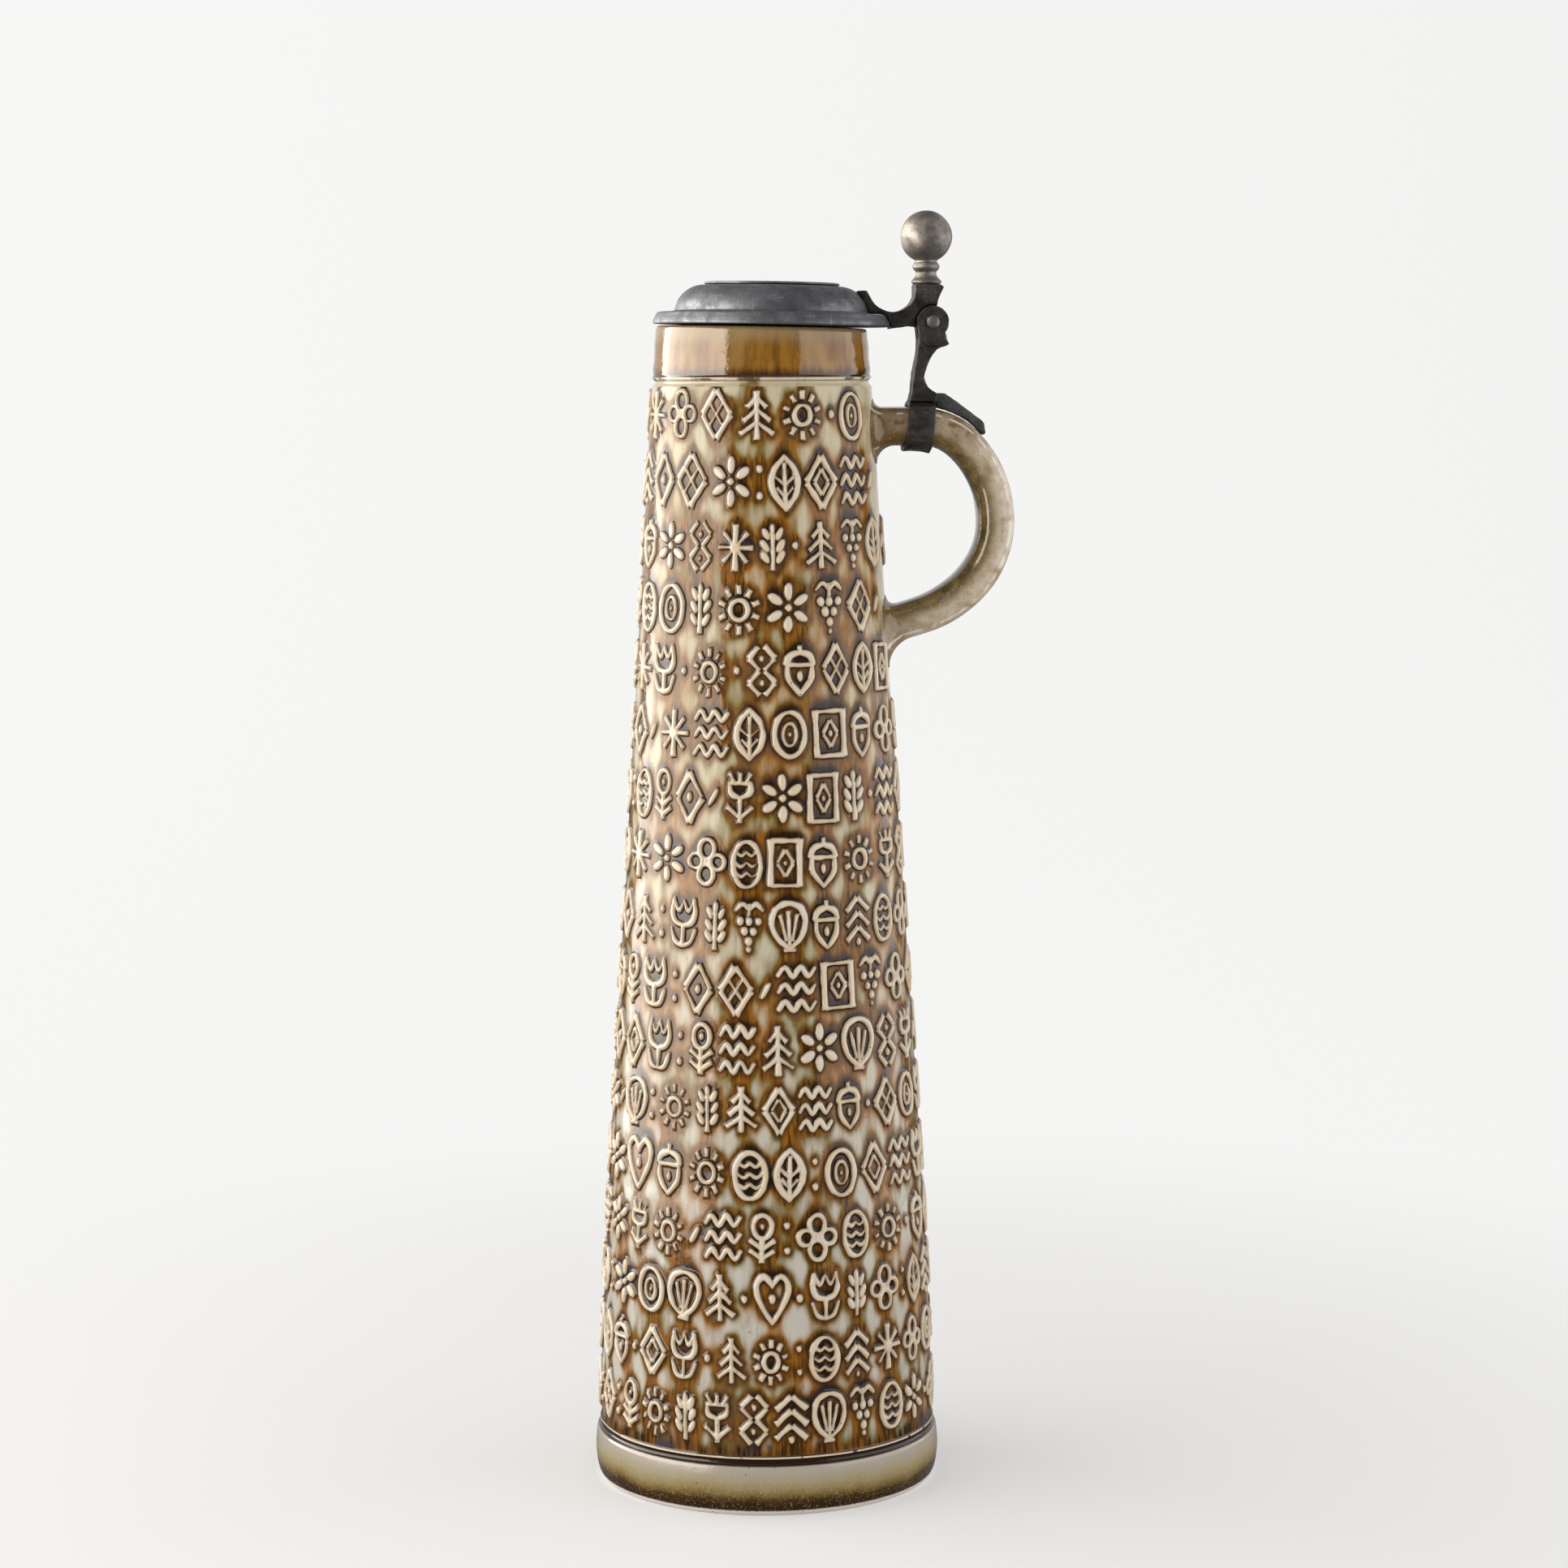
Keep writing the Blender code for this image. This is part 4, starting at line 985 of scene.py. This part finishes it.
def handle_material():
    g = Graph("handle_glaze_look")
    run, inner, near = g.attr("run"), g.attr("inner"), g.attr("near")
    z, xyz = g.height()
    flow = g.noise((4.5, 4.5, 4.5), 3.0, 0.55, (1, 2, 3))
    patch = g.noise((11.0, 11.0, 11.0), 2.0, 0.5, (6, 2, 8))
    grain = g.noise((0.6, 0.6, 0.6), 2.0, 0.6, (4, 1, 4))
    spots = g.cells((1.7, 1.7, 1.7), offset=(2, 6, 1))
    base = g.mix(g.step(flow, 0.32, 0.66), srgb(154, 137, 112), srgb(178, 165, 146))
    base = g.mix(g.step(patch, 0.5, 0.68, 0.0, 0.7), base, srgb(132, 112, 74))
    olive = g.mix(g.step(flow, 0.35, 0.65), srgb(74, 56, 24), srgb(112, 93, 48))
    # the side facing into the loop is olive: glaze colour, darkened there as painted shade; the innermost face is
    # painted darker brown as shade
    shade = g.step(g.add(inner, g.mul(g.sub(flow, 0.5), 1.1)), -0.10, 0.52)
    base = g.mix(g.mul(shade, 0.97), base, olive)
    # painted shade: darker brown on the innermost face of the loop
    inner_painted_shade = g.step(g.add(inner, g.mul(g.sub(patch, 0.5), 1.6)), 0.72, 1.1)
    base = g.mix(g.mul(inner_painted_shade, 0.6), base, srgb(60, 42, 18))
    # brown patches by the wall and by the metal collar
    by_wall = g.step(g.add(near, g.mul(g.sub(flow, 0.5), 12.0)), 13.0, 1.0)
    base = g.mix(g.mul(by_wall, 0.70), base, srgb(104, 82, 46))
    top = g.step(g.add(z, g.mul(g.sub(patch, 0.5), 22.0)), 349.0, 356.0)
    base = g.mix(g.mul(top, g.step(flow, 0.40, 0.62, 0.25, 0.9)), base, srgb(92, 66, 28))
    # two pale lines along the outer half of the strap: painted highlights
    line = g.step(g.math('ABSOLUTE', g.add(inner, 0.66)), 0.085, 0.02)
    base = g.mix(g.mul(line, g.step(flow, 0.40, 0.55, 0.0, 0.55)), base, srgb(222, 212, 198))
    base = g.mix(g.step(grain, 0.60, 0.74, 0.0, 0.4), base, srgb(206, 190, 162))
    base = g.mix(g.mul(g.step(spots, 0.13, 0.07), g.step(patch, 0.40, 0.55)), base, srgb(50, 34, 20))
    peel = g.noise((1.8, 1.8, 1.8), 2.0, 0.5, (9, 3, 6))
    g.bump(g.add(peel, g.mul(grain, 0.15)), 0.10, 0.5)
    return g.finish(base, g.step(grain, 0.3, 0.8, 0.09, 0.2), 0.0, 1.5)


def pewter_material(name, light, dark, scratch, seed, rough=(0.50, 0.70), dust=0.5):
    """Old pewter: mottled grey, worn bright on edges, with dull bloom in hollows."""
    g = Graph(name)
    o = (seed * 3.1, seed * 1.7, seed * 2.3)
    mottle = g.noise((5.5, 5.5, 5.5), 4.0, 0.62, o)
    cloud = g.noise((15.0, 15.0, 12.0), 3.0, 0.55, (o[1], o[2], o[0]))
    grain = g.noise((0.45, 0.45, 0.45), 3.0, 0.7, (o[2], o[0], o[1]))
    pits = g.cells((1.25, 1.25, 1.25), offset=o)
    worn = g.node("ShaderNodeNewGeometry").outputs["Pointiness"]
    colour = g.mix(g.step(mottle, 0.30, 0.70), dark, light)
    colour = g.mix(g.step(cloud, 0.52, 0.70, 0.0, 0.55), colour, tuple(min(1, c * 1.5) for c in light[:3]) + (1.0,))
    colour = g.mix(g.step(grain, 0.60, 0.74, 0.0, dust), colour, srgb(176, 176, 176))
    colour = g.mix(g.step(grain, 0.40, 0.28, 0.0, 0.55), colour, tuple(c * 0.45 for c in dark[:3]) + (1.0,))
    colour = g.mix(g.step(worn, 0.53, 0.60, 0.0, 0.35), colour, srgb(146, 146, 146))
    colour = g.mix(g.step(pits, 0.16, 0.08, 0.0, 0.7), colour, srgb(30, 29, 28))
    # fine scratches in two directions
    for k, (size, turn) in enumerate((((14.0, 14.0, 0.22), 0.5), ((0.25, 12.0, 12.0), -0.35))):
        vec = g.place(tuple(1.0 / s for s in size), (k * 7.0 + seed, 2.0, 5.0))
        rot = g.node("ShaderNodeVectorRotate", rotation_type='AXIS_ANGLE')
        rot.inputs["Axis"].default_value = (0.3, 1.0, 0.2)
        rot.inputs["Angle"].default_value = turn
        g.put(rot.inputs["Vector"], vec)
        n = g.node("ShaderNodeTexNoise")
        g.put(n.inputs["Vector"], rot.outputs[0])
        n.inputs["Scale"].default_value = 1.0
        n.inputs["Detail"].default_value = 1.0
        mark = g.mul(g.step(n.outputs["Fac"], 0.66, 0.70), g.step(mottle, 0.45, 0.6))
        colour = g.mix(g.mul(mark, scratch), colour, srgb(170, 170, 172))
    r = g.step(mottle, 0.25, 0.75, rough[1], rough[0])
    r = g.add(r, g.mul(g.sub(grain, 0.5), 0.25))
    bump = g.add(g.mul(grain, 0.5), g.mul(mottle, 0.9))
    bump = g.sub(bump, g.mul(g.step(pits, 0.2, 0.05), 0.5))
    g.bump(bump, 0.09, 0.7)
    return g.finish(colour, r, 1.0)


# =====================================================================
# build
# =====================================================================
LIGHT = srgb(104, 105, 110)
MID = srgb(84, 85, 89)
glaze = glaze_material()
strap = handle_material()
lid_mat = pewter_material("pewter_lid_look", LIGHT, MID, 0.5, 1)
disc_mat = pewter_material("pewter_disc_look", srgb(110, 112, 116), srgb(90, 91, 94), 0.5, 2)
bracket_mat = pewter_material("pewter_bracket_look", srgb(80, 76, 73), srgb(46, 43, 41), 0.4, 3, (0.42, 0.62), 0.4)
ball_mat = pewter_material("pewter_ball_look", srgb(134, 128, 122), srgb(98, 93, 88), 0.35, 4, (0.5, 0.68), 0.4)
strut_mat = pewter_material("pewter_strut_look", srgb(90, 86, 83), srgb(54, 50, 48), 0.4, 5, (0.42, 0.62), 0.4)
# the spur gets lighter pewter tones than the strut and band: painted light for its top face lit from above
spur_lit_mat = pewter_material("pewter_spur_lit_look", srgb(112, 110, 107), srgb(68, 65, 63), 0.4, 6, (0.42, 0.6), 0.4)
band_mat = pewter_material("pewter_band_look", srgb(88, 84, 80), srgb(50, 47, 45), 0.4, 7, (0.42, 0.62), 0.4)
pin_mat = pewter_material("pewter_pin_look", srgb(120, 116, 112), srgb(78, 74, 71), 0.3, 8)



def strut_foot(p):
    """The shank's foot is soldered down on the collar."""
    p = p.copy()
    p[:, 2] -= 0.75 * np.clip((369.6 - p[:, 2]) / 1.6, 0, 1)
    return p


def spur_seat(p):
    """The spur lies down on the strap and against the strut."""
    p = p.copy()
    p[:, 0] -= 0.5 * np.clip((61.5 - p[:, 0]) / 2.0, 0, 1)
    return p


VOX = 0.22
made = [
    (make_vessel(glaze), "vessel", "stoneware_body", "stoneware_glaze"),
    (make_handle(strap), "vessel", "stoneware_handle", "handle_glaze"),
    (make_lid(lid_mat), "lid", "lid_shell", "pewter_lid"),
    (make_disc(disc_mat), "lid", "lid_top_disc", "pewter_disc"),
    (soft_copy("lid_bracket", "pewter_lid_bracket", VOX, 4, bracket_mat, 11), "lid", "lid_bracket", "pewter_bracket"),
    (make_finial(ball_mat), "lid", "thumblift_finial", "pewter_ball"),
    (soft_copy("hinge_strut", "pewter_hinge_strut", VOX, 4, strut_mat, 12, 0.06, strut_foot), "vessel", "hinge_strut", "pewter_strut"),
    (soft_copy("handle_spur", "pewter_spur", VOX, 4, spur_lit_mat, 13, 0.06, spur_seat), "vessel", "handle_spur", "pewter_spur"),
    (soft_copy("handle_band", "pewter_collar_band", VOX, 4, band_mat, 14), "vessel", "handle_band", "pewter_band"),
    (make_pin(pin_mat), "vessel", "hinge_pin", "pewter_pin"),
]
for ob, body, node, slot in made:
    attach(ob, body)
    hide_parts(node)

# =====================================================================
# camera
# =====================================================================
F = 4650.0
PITCH = math.atan(500 / F)
AZ = math.radians(3.5)
ROLL = math.radians(0.245)
right = np.array([math.cos(AZ), -math.sin(AZ), 0.0])
ahead = np.array([math.sin(AZ), math.cos(AZ), 0.0])
upright = np.array([0.0, 0.0, 1.0])
eye = (-1272.0 * ahead + 6.9 * right + 374.2 * upright) * MM
fw = ahead * math.cos(PITCH) - upright * math.sin(PITCH)
up = ahead * math.sin(PITCH) + upright * math.cos(PITCH)
r2 = right * math.cos(ROLL) - up * math.sin(ROLL)
u2 = right * math.sin(ROLL) + up * math.cos(ROLL)
cam_data = bpy.data.cameras.new("camera")
cam_data.sensor_width = 36.0
cam_data.lens = F * 36.0 / 1932.0
cam_data.clip_start, cam_data.clip_end = 0.05, 60.0
camera = bpy.data.objects.new("camera", cam_data)
scene.collection.objects.link(camera)
camera.matrix_world = Matrix([[r2[0], u2[0], -fw[0], eye[0]], [r2[1], u2[1], -fw[1], eye[1]],
                              [r2[2], u2[2], -fw[2], eye[2]], [0, 0, 0, 1]])
scene.camera = camera


# =====================================================================
# studio: pale seamless floor and wall, two tall soft panels
# =====================================================================
def panel(name, centre, look, size, radiance, tint=(1.0, 1.0, 1.0), soft=True, shine=True):
    data = bpy.data.lights.new(name, 'AREA')
    data.shape = 'RECTANGLE'
    data.size, data.size_y = size
    data.energy = radiance * math.pi * size[0] * size[1]
    data.color = tint
    ob = bpy.data.objects.new(name, data)
    scene.collection.objects.link(ob)
    ob.location = centre
    d = Vector(look) - Vector(centre)
    ob.rotation_euler = d.to_track_quat('-Z', 'Y').to_euler()
    ob.visible_camera = False
    ob.visible_diffuse = soft
    ob.visible_glossy = shine
    return ob


WARM, COOL = (1.0, 0.985, 0.96), (0.98, 0.985, 1.0)
panel("window_left", (-0.80, -0.10, 0.45), (0.0, -0.10, 0.45), (1.64, 0.95), 2.3, WARM, True, False)
panel("window_left_shine", (-0.78, -0.10, 0.45), (0.0, -0.10, 0.45), (1.64, 0.95), 9.0, (1.0, 0.95, 0.87), False, True)
panel("panel_right", (0.80, -0.24, 0.45), (0.0, -0.24, 0.45), (1.56, 0.95), 1.1, COOL, True, False)
panel("panel_right_shine", (0.78, -0.24, 0.45), (0.0, -0.24, 0.45), (1.56, 0.95), 2.0, COOL, False, True)
panel("front_fill", (-0.2, -1.7, 1.1), (0.0, 0.0, 0.2), (1.6, 1.2), 0.4, (1, 1, 1), True, False)
panel("ceiling", (0.0, -0.3, 1.8), (0.0, 0.0, 0.2), (2.2, 1.6), 0.5)

world = bpy.data.worlds.new("studio")
world.use_nodes = True
world.node_tree.nodes["Background"].inputs[0].default_value = (1.0, 0.995, 0.985, 1.0)
world.node_tree.nodes["Background"].inputs[1].default_value = 0.20
scene.world = world


def ring_strip(name, rows, mat, start=0.0, stop=360.0, gloss=True):
    """A strip of the studio's floor or wall, from one bearing to another."""
    n = 96
    verts, faces = [], []
    for r, z in rows:
        for k in range(n + 1):
            a = math.radians(start + (stop - start) * k / n)
            verts.append((r * math.cos(a), r * math.sin(a), z))
    for j in range(len(rows) - 1):
        for k in range(n):
            q = j * (n + 1) + k
            faces.append((q, q + n + 1, q + n + 2, q + 1))
    mesh = bpy.data.meshes.new(name)
    mesh.from_pydata(verts, [], faces)
    for p in mesh.polygons:
        p.use_smooth = True
    mesh.materials.append(mat)
    ob = bpy.data.objects.new(name, mesh)
    scene.collection.objects.link(ob)
    ob.visible_glossy = gloss
    return ob


def make_stage():
    """A seamless floor that turns up into a wall all round."""
    curve = [(3.0 + 1.0 * math.sin(a), 1.0 - math.cos(a)) for a in np.linspace(0.0, math.pi / 2, 13)]
    mat = bpy.data.materials.new("studio_white_glow")
    mat.use_nodes = True
    tree = mat.node_tree
    bsdf = tree.nodes["Principled BSDF"]
    bsdf.inputs["Base Color"].default_value = (0.78, 0.77, 0.765, 1.0)
    bsdf.inputs["Roughness"].default_value = 0.9
    bsdf.inputs["Specular IOR Level"].default_value = 0.0
    out = tree.nodes["Material Output"]
    co = tree.nodes.new("ShaderNodeTexCoord")
    sep = tree.nodes.new("ShaderNodeSeparateXYZ")
    tree.links.new(co.outputs["Object"], sep.inputs[0])
    flat = tree.nodes.new("ShaderNodeCombineXYZ")
    tree.links.new(sep.outputs[0], flat.inputs[0])
    tree.links.new(sep.outputs[1], flat.inputs[1])
    far = tree.nodes.new("ShaderNodeVectorMath")
    far.operation = 'LENGTH'
    tree.links.new(flat.outputs[0], far.inputs[0])
    # the floor and wall glow; next to the object the floor still glows at 0.30, painting its cast shadow lighter, and
    # it glows fully from 0.62 m out
    ramp = tree.nodes.new("ShaderNodeMapRange")
    ramp.interpolation_type = 'SMOOTHSTEP'
    ramp.inputs["From Min"].default_value = 0.18
    ramp.inputs["From Max"].default_value = 0.62
    ramp.inputs["To Min"].default_value = 0.30
    tree.links.new(far.outputs["Value"], ramp.inputs["Value"])
    glow = tree.nodes.new("ShaderNodeEmission")
    glow.inputs["Color"].default_value = (1.0, 0.997, 0.990, 1.0)
    # the glow is stronger toward -x: painted light from the left side
    side = tree.nodes.new("ShaderNodeMapRange")
    side.inputs["From Min"].default_value = -1.6
    side.inputs["From Max"].default_value = 1.6
    side.inputs["To Min"].default_value = 0.945
    side.inputs["To Max"].default_value = 0.885
    tree.links.new(sep.outputs[0], side.inputs["Value"])
    tree.links.new(side.outputs["Result"], glow.inputs["Strength"])
    mix = tree.nodes.new("ShaderNodeMixShader")
    tree.links.new(ramp.outputs["Result"], mix.inputs[0])
    tree.links.new(bsdf.outputs[0], mix.inputs[1])
    tree.links.new(glow.outputs[0], mix.inputs[2])
    tree.links.new(mix.outputs[0], out.inputs["Surface"])
    flat = [(r, 0.0) for r in (0.0, 0.2, 0.5, 1.0, 1.6, 2.4, 3.1)]
    ring_strip("studio_floor", flat, mat, gloss=False)
    tall = curve + [(4.0, 1.6), (4.0, 2.4), (4.0, 3.4)]
    ring_strip("studio_wall_back", tall, mat, 30.0, 150.0)
    ring_strip("studio_wall_front", tall, mat, 150.0, 390.0, gloss=False)


make_stage()
